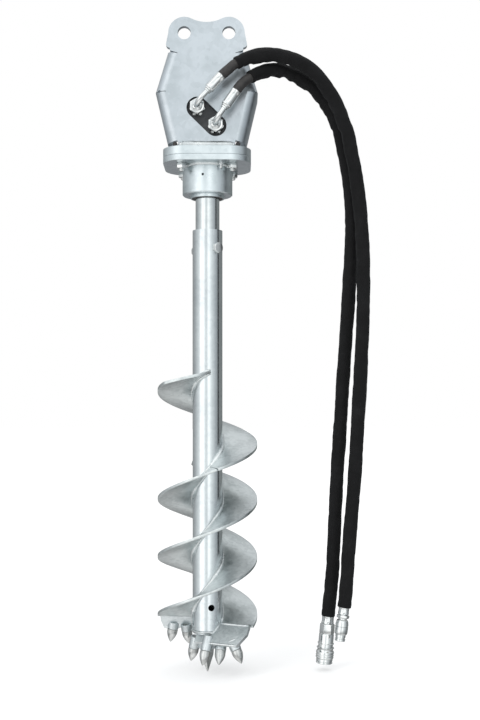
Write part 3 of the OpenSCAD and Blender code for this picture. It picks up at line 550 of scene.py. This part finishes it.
def sleeve_dents(way, into, left, angle, out, bend, seed):
    """Lumps along the sleeve's run and folds inside its bends, in mm. They fade out at its ends."""
    soft = min(into / FADE, 1) * min(left / FADE + 0.1, 1)
    lump = noise.noise(Vector((out.x * 0.9, out.y * 0.9, way * LUMPS_IN_METRE + seed)) + out * 0.5)
    across = (math.cos(angle) * 0.5 + seed, math.sin(angle) * 0.5)
    fold = noise.noise(Vector((*across, way * FOLDS_IN_METRE)))
    inner = max(0.0, out.dot(bend) * 5)
    return soft * (LUMP_DEPTH * lump + (FOLD_DEPTH + BEND_FOLD_DEPTH * inner) * min(fold, 0.25))


def hose_rings(line, start_way, end_way):
    """For each point of a line: its place, two directions across it and the way that it bends."""
    last = len(line) - 1
    heads = [(line[min(i + 1, last)] - line[max(i - 1, 0)]).normalized() for i in range(last + 1)]
    heads[0] = Vector(start_way).normalized()
    heads[-1] = Vector(end_way).normalized()
    side = heads[0].cross(Vector((0, 1, 0))).normalized()
    rings = []
    for i, head in enumerate(heads):
        side = (side - head * side.dot(head)).normalized()
        bend = heads[min(i + BEND_REACH, last)] - heads[max(i - BEND_REACH, 0)]
        rings.append((line[i], side, head.cross(side), bend))
    return rings


def hose_line(name, route, bare, start_way, end_way, seed):
    """Wraps a grid round a route as a hose in its sleeve, with folds in its bends and dents."""
    line, length = walk(smooth_line(route), RING_GAP)
    rings = hose_rings(line, start_way, end_way)
    last = len(line) - 1
    ways = [length * i / last for i in range(last + 1)]
    edge = next(i for i, way in enumerate(ways) if way >= bare)
    # The hem's raw edge and the two closed ends are extra rings at the same place with another radius
    stations = [(0, 0.0)]
    for i, way in enumerate(ways):
        if i == edge:
            stations += [(i, BARE_R), (i, EDGE_R)]
        stations.append((i, sleeve_radius(way, bare, length)))
    stations += [(last, END_R), (last, 0.0)]
    deselect()
    bpy.ops.mesh.primitive_grid_add(x_subdivisions=AROUND, y_subdivisions=len(stations) - 1, size=1)
    piece = name_new(name)
    for k, vertex in enumerate(piece.data.vertices):
        row, column = divmod(k, AROUND + 1)
        i, radius = stations[row]
        centre, u, v, bend = rings[i]
        way = ways[i]
        angle = math.tau * (column % AROUND) / AROUND
        out = u * math.cos(angle) + v * math.sin(angle)
        dents = 0.0
        if i > edge and radius > END_R:
            dents = sleeve_dents(way, way - bare, length - way, angle, out, bend, seed)
        vertex.co = centre + out * (radius + dents) * MM
    piece.data.materials.append(hose_rubber)
    piece.data.materials.append(sleeve_cloth)
    first_covered = (edge + 1) * AROUND
    for face in piece.data.polygons:
        face.material_index = 1 if face.index >= first_covered else 0
    clean_mesh(2 * ONE_POINT)
    bpy.ops.object.shade_smooth_by_angle(angle=math.radians(50))
    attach(piece, "frame")
    return piece, line, length


def leaning(degrees):
    return Vector((math.sin(math.radians(degrees)), 0, math.cos(math.radians(degrees))))


# The stems climb at these angles from level, and the couplers lean a little from upright
PLUG_STEM = leaning(90 - 47)
SOCKET_STEM = leaning(90 - 55)
PLUG_UP = leaning(7.5)
SOCKET_UP = leaning(5)
plug_line, plug_path, plug_length = hose_line(
    "plug_hose_line", PLUG_LINE, 36 * MM, PLUG_STEM, -PLUG_UP, 3.1)
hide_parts("plug_hose", "plug_hose_sleeve")
socket_line, socket_path, socket_length = hose_line(
    "socket_hose_line", SOCKET_LINE, 38 * MM, SOCKET_STEM, -SOCKET_UP, 8.7)
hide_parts("socket_hose", "socket_hose_sleeve")


# Hose ends at the motor: swivel nut, forged elbow and crimped ferrule

FERRULE_R = 10.5
FERRULE_L = 38
BEND_R = 18
BEND_START = -24
# The elbow's shoulder as (depth, radius) and its collar as (way beyond the bend, radius)
SHOULDER = [(-14, 5.5), (-19.6, 5.5), (-19.7, 9.6), (-20.4, 10), (-23.4, 10), (-24.2, 9.4),
            (-25, 6.4), (-26, 5.6)]
COLLAR = [(1.5, 5.4), (10.2, 5.3), (10.6, 7.4), (13, 7.4), (13.4, 6.2), (15, 6.2)]


def crimped(piece, low, high, depth, jaws=8):
    """Presses a turned shell between two heights with the jaws of a crimping die."""
    for vertex in piece.data.vertices:
        height = vertex.co.z / MM
        if low < height < high:
            angle = math.atan2(vertex.co.y, vertex.co.x)
            press = (0.5 + 0.5 * math.cos(jaws * angle)) ** 2
            vertex.co.x *= 1 - depth * press
            vertex.co.y *= 1 - depth * press
    return piece


def hose_ferrule(name, place, along):
    radius, length = FERRULE_R, FERRULE_L
    collar = radius - 2.2
    waist = radius - 0.35
    shell = [(0, 0), (collar - 1, 0), (collar, 0.6), (collar, 2.8), (radius - 0.5, 3.6),
             (radius, 4.4), (radius, 6.5), (radius - 0.25, 7.2), (waist, length * 0.35),
             (waist, length * 0.55), (waist, length * 0.7), (radius - 0.25, length - 6),
             (radius, length - 5.2), (radius, length - 1.2), (radius - 0.7, length - 0.2),
             (radius - 1.3, length), (0, length)]
    piece = turned(name, shell, FINE_TURN)
    return put(crimped(piece, 7, length - 5.8, depth=0.025), place, along)


def elbow(name, port, along):
    """Bent stem: a round shoulder at the nut, a thin bend and a collar at the ferrule."""
    base = mm(port[0], 0, port[1])
    points = [base + mm(0, y, 0) for y, radius in SHOULDER]
    radii = [radius for y, radius in SHOULDER]
    for k in range(2, 13):
        turn = math.radians(7.5 * k)
        out = along * BEND_R * MM * (1 - math.cos(turn))
        points.append(base + out + mm(0, BEND_START - BEND_R * math.sin(turn), 0))
        radii.append(5.5 + 0.25 * math.sin(turn * 2))
    end = base + along * BEND_R * MM + mm(0, BEND_START - BEND_R, 0)
    for way, radius in COLLAR:
        points.append(end + along * way * MM)
        radii.append(radius)
    return swept(name, points, radii, sides=6)


PORTS = [(-18, -145.5), (18, -180.5)]
nut = hexagon("hose_nut", 27, 1, 19.2, 8.05)
lip = turned("nut_lip", [(8.6, 18.6), (10.9, 18.6), (10.6, 20.3), (9.6, 21), (8.6, 20.6),
                         (8.6, 18.6)])
swivel_nut = joined("swivel_nut", [nut, lip])
second_nut = copy_of(swivel_nut, "second_nut")
for piece, (x, z) in zip((swivel_nut, second_nut), PORTS):
    put(piece, mm(x, 0, z), FRONT)
finish_fitting(joined("swivel_nuts", [swivel_nut, second_nut]), "hose_nuts")

for label, port, stem in (("plug", PORTS[0], PLUG_STEM), ("socket", PORTS[1], SOCKET_STEM)):
    finish_fitting(elbow(label + "_hose_elbow", port, stem), label + "_hose_stem", smooth=45)
for label, place, stem in (("plug", mm(3.824, -42, -122.096), PLUG_STEM),
                           ("socket", mm(36.355, -42, -154.287), SOCKET_STEM)):
    finish_fitting(hose_ferrule(label + "_hose_crimp", place, stem), label + "_hose_ferrule")


def coupler_crimp(name, profile, low, high, base, up, node):
    """The ferrule that is crimped onto a hose above its coupler."""
    crimp = crimped(turned(name, profile, FINE_TURN), low, high, depth=0.05, jaws=6)
    return finish_fitting(put(crimp, base, up), node)


# Plug coupler, drawn upwards from its nose

PLUG_L = 68
plug_base = mm(*PLUG_LINE[-1]) - PLUG_UP * PLUG_L * MM
plug_crimp = coupler_crimp("plug_crimp", [
    (0, 54), (10.2, 54), (11, 54.8), (11, 57), (10.6, 57.8), (10.5, 61), (10.5, 64), (10.6, 65.5),
    (11, 66.2), (11, 67.3), (10.2, 67.95), (0, 67.95)], 57.5, 65.8, plug_base, PLUG_UP, "plug_ferrule")
plug_hex = hexagon("plug_hex", 22, 46, 52.4)
plug_shell = turned("plug_shell", [
    (6.08, 0.6), (6.6, 0), (9.3, 0), (10.25, 1.2), (10.25, 4.6), (9.4, 5.1), (9.4, 7.6), (10.25, 8.1),
    (10.25, 13), (12.2, 14.6), (13, 17.4), (13.15, 24), (13.1, 29), (12.3, 29.5), (12.3, 30.6),
    (13, 31.1), (12.8, 35), (12, 39), (11, 41.6), (9, 43), (8.2, 44), (8.2, 46.4), (8, 54.4), (0, 54.4),
    (0, 19.4), (6.08, 19.4), (6.08, 0.6)], FINE_TURN)
plug_coupler = put(joined("plug_coupler", [plug_shell, plug_hex]), plug_base, PLUG_UP)
finish_fitting(plug_coupler, "plug_body")


# Socket coupler, drawn upwards from its mouth

SOCKET_L = 97
socket_base = mm(*SOCKET_LINE[-1]) - SOCKET_UP * SOCKET_L * MM
socket_crimp = coupler_crimp("socket_crimp", [
    (0, 81), (11.6, 81), (12.5, 81.9), (12.5, 84.4), (12.1, 85.2), (12, 88.5), (12, 91.5), (12.1, 93.8),
    (12.5, 94.6), (12.5, 96), (11.7, 96.95), (0, 96.95)], 84.8, 94.2, socket_base, SOCKET_UP,
    "socket_ferrule")
socket_hex = hexagon("socket_hex", 26, 60.4, 81)
socket_shell = turned("socket_shell", [
    (10.3, 1.4), (11.6, 0), (15.4, 0), (16.5, 1.2), (16.5, 3.4), (15.7, 4), (15.7, 5.2), (16.5, 5.8),
    (16.5, 9.9), (15.6, 11), (14.95, 11.1), (14.95, 40), (16, 40.2), (16.5, 40.7), (16.5, 41.4),
    (16, 42), (15, 42.2), (15, 59), (14.2, 60.8), (0, 60.8), (0, 47.4), (6.08, 47.4), (6.08, 28),
    (10.3, 28), (10.3, 1.4)], FINE_TURN)
# Three notches in the end collar, for the locking sleeve's stops: the cosine at their edges, their
# floor as a share of the radius, and the collar's top and bore in mm
NOTCH_EDGE = 0.93
NOTCH_FLOOR = 0.93
COLLAR_TOP = 4.1
COLLAR_BORE = 14
for vertex in socket_shell.data.vertices:
    notch = math.cos(3 * math.atan2(vertex.co.y, vertex.co.x)) > NOTCH_EDGE
    if notch and vertex.co.z < COLLAR_TOP * MM and vertex.co.xy.length > COLLAR_BORE * MM:
        vertex.co.xy *= NOTCH_FLOOR
socket_coupler = put(joined("socket_coupler", [socket_shell, socket_hex]), socket_base, SOCKET_UP)
finish_fitting(socket_coupler, "socket_body")
lock_sleeve = turned("lock_sleeve", [
    (15.08, 11.8), (15.5, 11.4), (17.2, 11.4), (18, 12.3), (18, 14), (17.3, 14.7), (17.3, 15.9),
    (18, 16.6), (18, 18.4), (17.3, 19.1), (17.3, 20.3), (18, 21), (18, 24.6), (17.5, 25.2),
    (16.6, 26.2), (15.7, 28.2), (15.7, 29.4), (16.6, 31.2), (17.4, 31.8), (17.6, 32.6), (17.1, 33.2),
    (15.5, 33.4), (15.08, 33), (15.08, 11.8)], 72)
finish_fitting(put(lock_sleeve, socket_base, SOCKET_UP), "socket_lock_sleeve", "lock_sleeve")


# Bolts and nuts, all of one thread

BOLT_R = 6
THREAD_PITCH = 1.75
BOLT_FLATS = 18.96
NUT_BORE = 6.05
BASE_TOP = -221
FLANGE_FOOT = -249


def threaded_tail(low, high):
    """Profile of a bolt's threaded end from its tip up."""
    profile = [(0, low), (BOLT_R - 1.5, low), (BOLT_R - 0.6, low + 1)]
    height = low + 1.2
    while height < high - THREAD_PITCH:
        profile += [(BOLT_R - 0.95, height), (BOLT_R, height + THREAD_PITCH * 0.42),
                    (BOLT_R, height + THREAD_PITCH * 0.58)]
        height += THREAD_PITCH
    return profile + [(BOLT_R - 0.9, height), (BOLT_R, high)]


def bolt_of(name, label, tip, thread_top, shank_top, seat, head_top):
    """A bolt drawn upright on the heights of its parts. Its shank ends a little inside its head."""
    head = hexagon(label + "_head", BOLT_FLATS, seat, head_top, flat_foot=True)
    profile = threaded_tail(tip, thread_top) + [(BOLT_R, shank_top), (0, shank_top)]
    return joined(name, [head, turned(label + "_shank", profile, 32)])


bolt = bolt_of("flange_bolt", "bolt", -264.8, FLANGE_FOOT, -220.5, BASE_TOP, -213.44)
flange_nut = hexagon("flange_nut", BOLT_FLATS, -259.8, -249.02, NUT_BORE)
# Bolts from the axis to the side and to the front or back, and the turn that clears the housing
BOLT_ACROSS = 50
BOLT_DEEP = 43.02
NUT_TURN = 70.7
bolts, nuts = [], []
for x, y in ((-1, -1), (1, -1), (-1, 1), (1, 1)):
    for master, made, twist in ((bolt, bolts, 0), (flange_nut, nuts, x * y * NUT_TURN)):
        one = copy_of(master, master.name + "_copy")
        turn = Matrix.Rotation(math.radians(twist), 4, "Z")
        place = AXIS + mm(x * BOLT_ACROSS, y * BOLT_DEEP, 0)
        one.matrix_world = Matrix.Translation(place) @ turn
        keep_place()
        made.append(one)
bpy.data.objects.remove(bolt)
bpy.data.objects.remove(flange_nut)
finish_fitting(joined("flange_bolt_set", bolts), "flange_bolts")
finish_fitting(joined("flange_nut_set", nuts), "flange_nuts")

# Cross bolt through the tube, its head turned to the right of the front
CROSS_TURN = math.radians(40)
CROSS = Vector((math.sin(CROSS_TURN), -math.cos(CROSS_TURN), 0))
CROSS_PLACE = AXIS + mm(0, 0, -413)
cross_bolt = bolt_of("tube_bolt", "cross", -45.8, -30, 30.6, 30.05, 37.6)
finish_fitting(put(cross_bolt, CROSS_PLACE, CROSS), "cross_bolt", "auger")
cross_nut = put(hexagon("tube_nut", BOLT_FLATS, -40.8, -30.05, NUT_BORE), CROSS_PLACE, CROSS)
finish_fitting(cross_nut, "cross_nut", "auger")

# Grease nipple under the flange, beside the bearing housing
nipple_hex = hexagon("nipple_hex", 8, 0, 4.5, flat_foot=True)
nipple_stem = turned("nipple_stem", [
    (0, 4), (2.6, 4), (2.6, 6.4), (1.9, 7.2), (1.9, 8.2), (3.1, 9.2), (3.2, 10.4), (2.4, 12),
    (1.2, 12.6), (0, 12.3)], 24)
nipple = put(joined("grease_nipple", [nipple_hex, nipple_stem]), mm(28, 8, FLANGE_FOOT), DOWN)
finish_fitting(nipple, None)


# Flights: fine helical plates, each with a weld run over and under its root

# Bearing of the start and sweep in degrees, height of the start and pitch in mm, tapered start or not
Flight = namedtuple("Flight", "label first sweep top pitch tapered")
FLIGHTS = [Flight("upper", 283, 359.9, -639.6, 210, True),
           Flight("lower", -77, 465, -849.6, 231, False),
           Flight("second", 150, 535, -819.7, 231, True)]
FLIGHT_ROOT = 30.09
FLIGHT_RIM = 100
FLIGHT_T = 5.4
# A tapered flight starts narrow, widens over the first degrees and starts a little low
START_WIDTH = 3
WIDENS_OVER = 70
START_SAG = 20
SAGS_OVER = 100
# Strips from root to rim, and the root welds' place: out from the axis and off the flight's middle
DIVISIONS = 14
ROOT_WELD_R = 31.2
ROOT_WELD_RISE = 4.1


def on_helix(flight, turn, radius, lift=0):
    """Place on a flight at a turn in degrees from its start: out from the axis and lifted, in mm."""
    at = math.radians(flight.first - turn)
    sag = START_SAG * (1 - min(turn / SAGS_OVER, 1)) ** 2 if flight.tapered else 0
    height = flight.top - flight.pitch * turn / 360 - sag + lift
    return AXIS + mm(radius * math.cos(at), radius * math.sin(at), height)


def root_weld(name, flight, side, start, stop, step=2.6, size=2.7):
    """Weld run in the corner between the tube and the upper (1) or lower (-1) side of a flight."""
    count = int((stop - start) / step)
    turns = [start + (stop - start) * i / count for i in range(count + 1)]
    lift = side * ROOT_WELD_RISE
    return weld_bead(name, [on_helix(flight, turn, ROOT_WELD_R, lift) for turn in turns], size)


def flight_plate(flight, radial_line):
    """Helical plate: a radial line run down round the tube, then given its thickness."""
    name = flight.label + "_flight_plate"
    count = round(flight.sweep / 2)
    points, widths = [], []
    for i in range(count + 1):
        turn = flight.sweep * i / count
        grow = min(turn / WIDENS_OVER, 1) if flight.tapered else 1
        points.append(on_helix(flight, turn, FLIGHT_ROOT))
        widths.append((START_WIDTH + (FLIGHT_RIM - FLIGHT_ROOT - START_WIDTH) * grow) * MM)
    helix = drawn_line(name, points, widths)
    helix.data.twist_mode = "Z_UP"
    helix.data.bevel_mode = "OBJECT"
    helix.data.bevel_object = radial_line
    plate = as_mesh(helix, name)
    wall = plate.modifiers.new("wall", "SOLIDIFY")
    wall.thickness = FLIGHT_T * MM
    wall.offset = 0
    apply_modifier(plate, wall)
    apply_modifier(plate, break_edges(plate, width=1.1, angle=50))
    finish_piece(plate, flight_zinc, "auger", ["flight_" + flight.label])


radial_line = drawn_line("radial_line", [(-i / DIVISIONS, 0, 0) for i in range(DIVISIONS + 1)],
                         [1] * (DIVISIONS + 1))
for flight in FLIGHTS:
    flight_plate(flight, radial_line)
bpy.data.objects.remove(radial_line)

# Heavier stitches on each turn: side of the flight and the bearings where they start and end
STITCHES = [(1, -8, -75), (-1, -130, -172)]
for flight in FLIGHTS:
    label, sweep = flight.label, flight.sweep
    beads = [root_weld(label + "_over", flight, 1, 0, sweep),
             root_weld(label + "_under", flight, -1, 0, sweep)]
    for side, near, far in STITCHES:
        start = (flight.first - near) % 360
        while start + near - far < sweep:
            stop = start + near - far
            beads.append(root_weld(label + "_stitch", flight, side, start, stop, step=7, size=5.4))
            start += 360
    finish_weld(joined(label + "_flight_weld", beads), "auger")


# Welds on the bearing housing and at the hood's foot

SEAM_STEP = 2.2


def round_seam(radius, height):
    """Places round the auger's axis, an even number so that the ripples close."""
    count = 2 * round(math.pi * radius / SEAM_STEP)
    turns = [math.tau * i / count for i in range(count)]
    return [AXIS + mm(radius * math.cos(t), radius * math.sin(t), height) for t in turns]


finish_weld(weld_bead("housing_weld", round_seam(50, -249.6), 4.4, True), "frame")
foot_line = [mm(x * 0.5, -6.2, -218) for x in range(-108, 109, 5)]
finish_weld(weld_bead("hood_foot_weld", foot_line, 6.6), "frame")
back_line = [mm(x * 0.5, 7.2, -219.6) for x in range(-76, 77, 4)]
finish_weld(weld_bead("hood_back_weld", back_line, 3.6), "frame")


# Cutting plates: welds along their edges and round the tube's end, each plate in its own turned frame

# Turn about the axis and height of the top edge
RIGHT_PLATE = (-25, -1163)
LEFT_PLATE = (178, -1148)
# Slope of both plates, their top edge ahead of the axis, their face from the middle and ahead of the axis
SLOPE = math.radians(50)
TOP_EDGE_AHEAD = 3.36
FACE = 4
FACE_AHEAD = 6.4
# Step along a straight weld, and the seam's radius at the tube
PLATE_STEP = 2.4
TUBE_SEAM = 30.6


def on_plate(plate, across, down, front):
    """Place on a cutting plate: across from the axis, down its slope and before its middle, in mm."""
    turn, top = plate
    ahead = -TOP_EDGE_AHEAD - down * math.cos(SLOPE) - front * math.sin(SLOPE)
    height = top - down * math.sin(SLOPE) + front * math.cos(SLOPE)
    spot = Matrix.Rotation(math.radians(turn), 3, "Z") @ Vector((across, ahead, height))
    return AXIS + spot * MM


def plate_weld(name, plate, first, last, down, front, size):
    count = max(4, round(abs(last - first) / PLATE_STEP))
    run = [first + (last - first) * i / count for i in range(count + 1)]
    return weld_bead(name, [on_plate(plate, across, down, front) for across in run], size)


# Where the right plate leaves the tube's side and passes under its end
tube_run = []
for i in range(11):
    down = SEAM_STEP * i
    ahead = FACE_AHEAD + down * math.cos(SLOPE)
    tube_run.append(on_plate(RIGHT_PLATE, math.sqrt(TUBE_SEAM ** 2 - ahead ** 2), down, FACE))
tube_run += [on_plate(RIGHT_PLATE, 20 - PLATE_STEP * i, 24.5, FACE) for i in range(13)]
# Tack where the outer tooth's holder meets the right plate's face
tack_run = [on_plate(RIGHT_PLATE, 62.4 + 2 * i, 37.2 - 1.3 * i, 3) for i in range(7)]
finish_weld(joined("cutter_welds", [
    plate_weld("right_top", RIGHT_PLATE, 33, 93, down=-0.6, front=2.6, size=3.4),
    plate_weld("right_foot", RIGHT_PLATE, 2, 79, down=44.6, front=3.2, size=2.5),
    plate_weld("left_top", LEFT_PLATE, 33, 93, down=-0.6, front=2.6, size=3.2),
    plate_weld("left_foot", LEFT_PLATE, 57, 90, down=35.4, front=-3, size=3.2),
    weld_bead("plate_to_tube", tube_run, 2.7),
    weld_bead("holder_tack", tack_run, 2.3),
    weld_bead("tube_end", round_seam(30.3, -1176.6), 2.4, True)]), "auger")

# Dark fillers in the inner ends of the slots under the side flanges, in the hose rubber finish: painted
# shade in the holes
SHADE_PLUG_SHAPE = [(0, 0), (3.4, 0), (4.1, 0.6), (4.1, 7.4), (4.5, 8), (4.5, 9), (3.9, 9.7), (0, 9.9)]
plugs = []
for side in (-1, 1):
    plugs.append(put(turned("slot_shade_plug", SHADE_PLUG_SHAPE, 32), mm(side * 61.4, 5.6, -216.4), FRONT))
finish_piece(joined("slot_shade_plugs", plugs), hose_rubber, "frame")


# Finishes on the carried-over pieces, with the width of their broken edges

TEETH = ["right_outer", "right_inner", "centre", "left_inner", "left_middle", "left_outer"]
RINGS = ["outer", "balls", "inner"]
finish_cad("hood_plate", hood_zinc_painted_shade, 0.9, 0.1)
for finish, edge, names in (
        (plate_zinc, 1.0, ["hood_base_plate", "flange_plate", "bearing_housing", "seal_carrier"]),
        (tube_zinc, 0.9, ["auger_tube"]),
        (turned_steel, 0.6, ["output_shaft"]),
        (cutter_zinc, 1.2, ["end_plug", "cutting_plate_right", "cutting_plate_left",
                            "tooth_holders"]),
        (tooth_steel, 1.0, ["pilot_point"]),
        (tooth_steel, 0.5, [name + "_tooth" for name in TEETH]),
        (fitting_zinc, 0.5, ["port_adapters"]),
        (motor_paint, 1.2, ["motor_housing", "motor_end_cover"]),
        (dark_steel, 0.4, ["shaft_nut", "motor_screws", "motor_bolts", "motor_shaft", "drive_key",
                           "gerotor_ring", "gerotor_star", "bearing_spacer"]),
        (race_steel, 0, ["upper_bearing_" + ring for ring in RINGS]),
        (race_steel, 0, ["lower_bearing_" + ring for ring in RINGS]),
        (hose_rubber, 0.4, ["shaft_seal"]),
        (valve_brass, 0.3, ["plug_valve", "socket_valve"])):
    for name in names:
        finish_cad(name, finish, edge)


# Floor, lamps and the pale studio round the object

deselect()
bpy.ops.mesh.primitive_plane_add(size=40, location=(0, 0, -1.2625))
floor = name_new("studio_floor")
floor.visible_glossy = False
floor_paint, tree, shader = new_finish("pale floor")
set_inputs(shader, {"Base Color": (0.9, 0.9, 0.9, 1), "Roughness": 0.9})
glow = add_node(tree, "ShaderNodeEmission", {"Color": (1, 1, 1, 1), "Strength": 1.17})
rays = add_node(tree, "ShaderNodeLightPath")
# Further out, where no shadow falls, the floor fades into the white background
span = add_node(tree, "ShaderNodeVectorMath", operation="LENGTH")
tree.links.new(add_node(tree, "ShaderNodeTexCoord").outputs["Object"], span.inputs[0])
fading = spread(tree, span.outputs["Value"], 0.5, 1.5, 0.42, 1.0)
share = product(tree, rays.outputs["Is Camera Ray"], fading)
show_mix(tree, share, shader.outputs[0], glow.outputs[0], "Material Output")
floor.data.materials.append(floor_paint)


def grey(level):
    return (level, level, level)


studio = bpy.data.worlds.new("studio")
bpy.context.scene.world = studio
studio.use_nodes = True
tree = studio.node_tree
walls = tree.nodes["Background"]
where = add_node(tree, "ShaderNodeTexCoord")
parts = add_node(tree, "ShaderNodeSeparateXYZ")
tree.links.new(where.outputs["Generated"], parts.inputs[0])
front = add_node(tree, "ShaderNodeMath", {1: -1}, operation="MULTIPLY")
tree.links.new(parts.outputs["Y"], front.inputs[0])
round_about = add_node(tree, "ShaderNodeMath", operation="ARCTAN2")
tree.links.new(parts.outputs["X"], round_about.inputs[0])
tree.links.new(front.outputs[0], round_about.inputs[1])
# Walls by bearing: from behind on the left, over the bright left front, to behind on the right
WALLS = [(-180, (0.20, 0.20, 0.21)), (-150, (0.22, 0.23, 0.23)), (-112, (0.30, 0.31, 0.32)),
         (-92, (0.42, 0.44, 0.45)), (-66, (0.60, 0.62, 0.63)), (-54, (1.0, 1.0, 1.0)),
         (-26, (1.0, 1.0, 1.0)), (-17, (0.66, 0.69, 0.70)), (-9, (0.54, 0.57, 0.58)),
         (-1, (0.74, 0.76, 0.77)), (6, (0.95, 0.96, 0.96)), (15, (0.95, 0.96, 0.96)),
         (24, (0.76, 0.79, 0.80)), (40, (0.52, 0.55, 0.56)), (62, (0.38, 0.40, 0.42)),
         (76, (0.28, 0.30, 0.31)), (90, (0.15, 0.16, 0.17)), (120, (0.17, 0.18, 0.18)),
         (160, (0.14, 0.15, 0.15)), (180, (0.20, 0.20, 0.21))]
turn_share = spread(tree, round_about.outputs[0], -math.pi, math.pi, 0, 1)
wall_colour = tint(tree, turn_share, [((angle + 180) / 360, colour) for angle, colour in WALLS])
# Up and down: the walls stand round the horizon, between a pale floor below and a pale ceiling above
rise = spread(tree, parts.outputs["Z"], -1, 1, 0, 1)
side = tint(tree, rise, [(0, grey(0.3)), (0.25, grey(0.3)), (0.375, grey(1)), (0.66, grey(1)),
                         (0.85, grey(0.5)), (1, grey(0.4))])
cap = tint(tree, rise, [(0, grey(0.52)), (0.12, grey(0.44)), (0.24, grey(0.08)), (0.38, grey(0)),
                        (0.62, grey(0)), (0.84, (0.42, 0.43, 0.44)), (1, (0.5, 0.51, 0.52))])
room = add_node(tree, "ShaderNodeVectorMath", operation="MULTIPLY_ADD")
for i, colour in enumerate((wall_colour, side, cap)):
    tree.links.new(colour, room.inputs[i])
tree.links.new(room.outputs[0], walls.inputs["Color"])
set_inputs(walls, {"Strength": 1.53})
white = add_node(tree, "ShaderNodeBackground", {"Color": (1, 1, 1, 1)})
rays = add_node(tree, "ShaderNodeLightPath")
show_mix(tree, rays.outputs["Is Camera Ray"], walls.outputs[0], white.outputs[0], "World Output")


def soft_lamp(name, place, aim, size, power):
    bpy.ops.object.light_add(type="AREA", location=place)
    lamp = bpy.context.active_object
    lamp.name = name
    lamp.data.shape = "DISK"
    lamp.data.size = size
    lamp.data.energy = power
    lamp.visible_glossy = False
    lamp.rotation_euler = (Vector(aim) - Vector(place)).to_track_quat("-Z", "Y").to_euler()


soft_lamp("key lamp", (-1.5, -1.9, 0.9), (0.1, 0.05, -0.5), size=1.2, power=22)
soft_lamp("top lamp", (0.4, 0.2, 1.6), (0.1, 0.05, -0.6), size=1.6, power=16)
bpy.context.scene.view_settings.view_transform = "Standard"
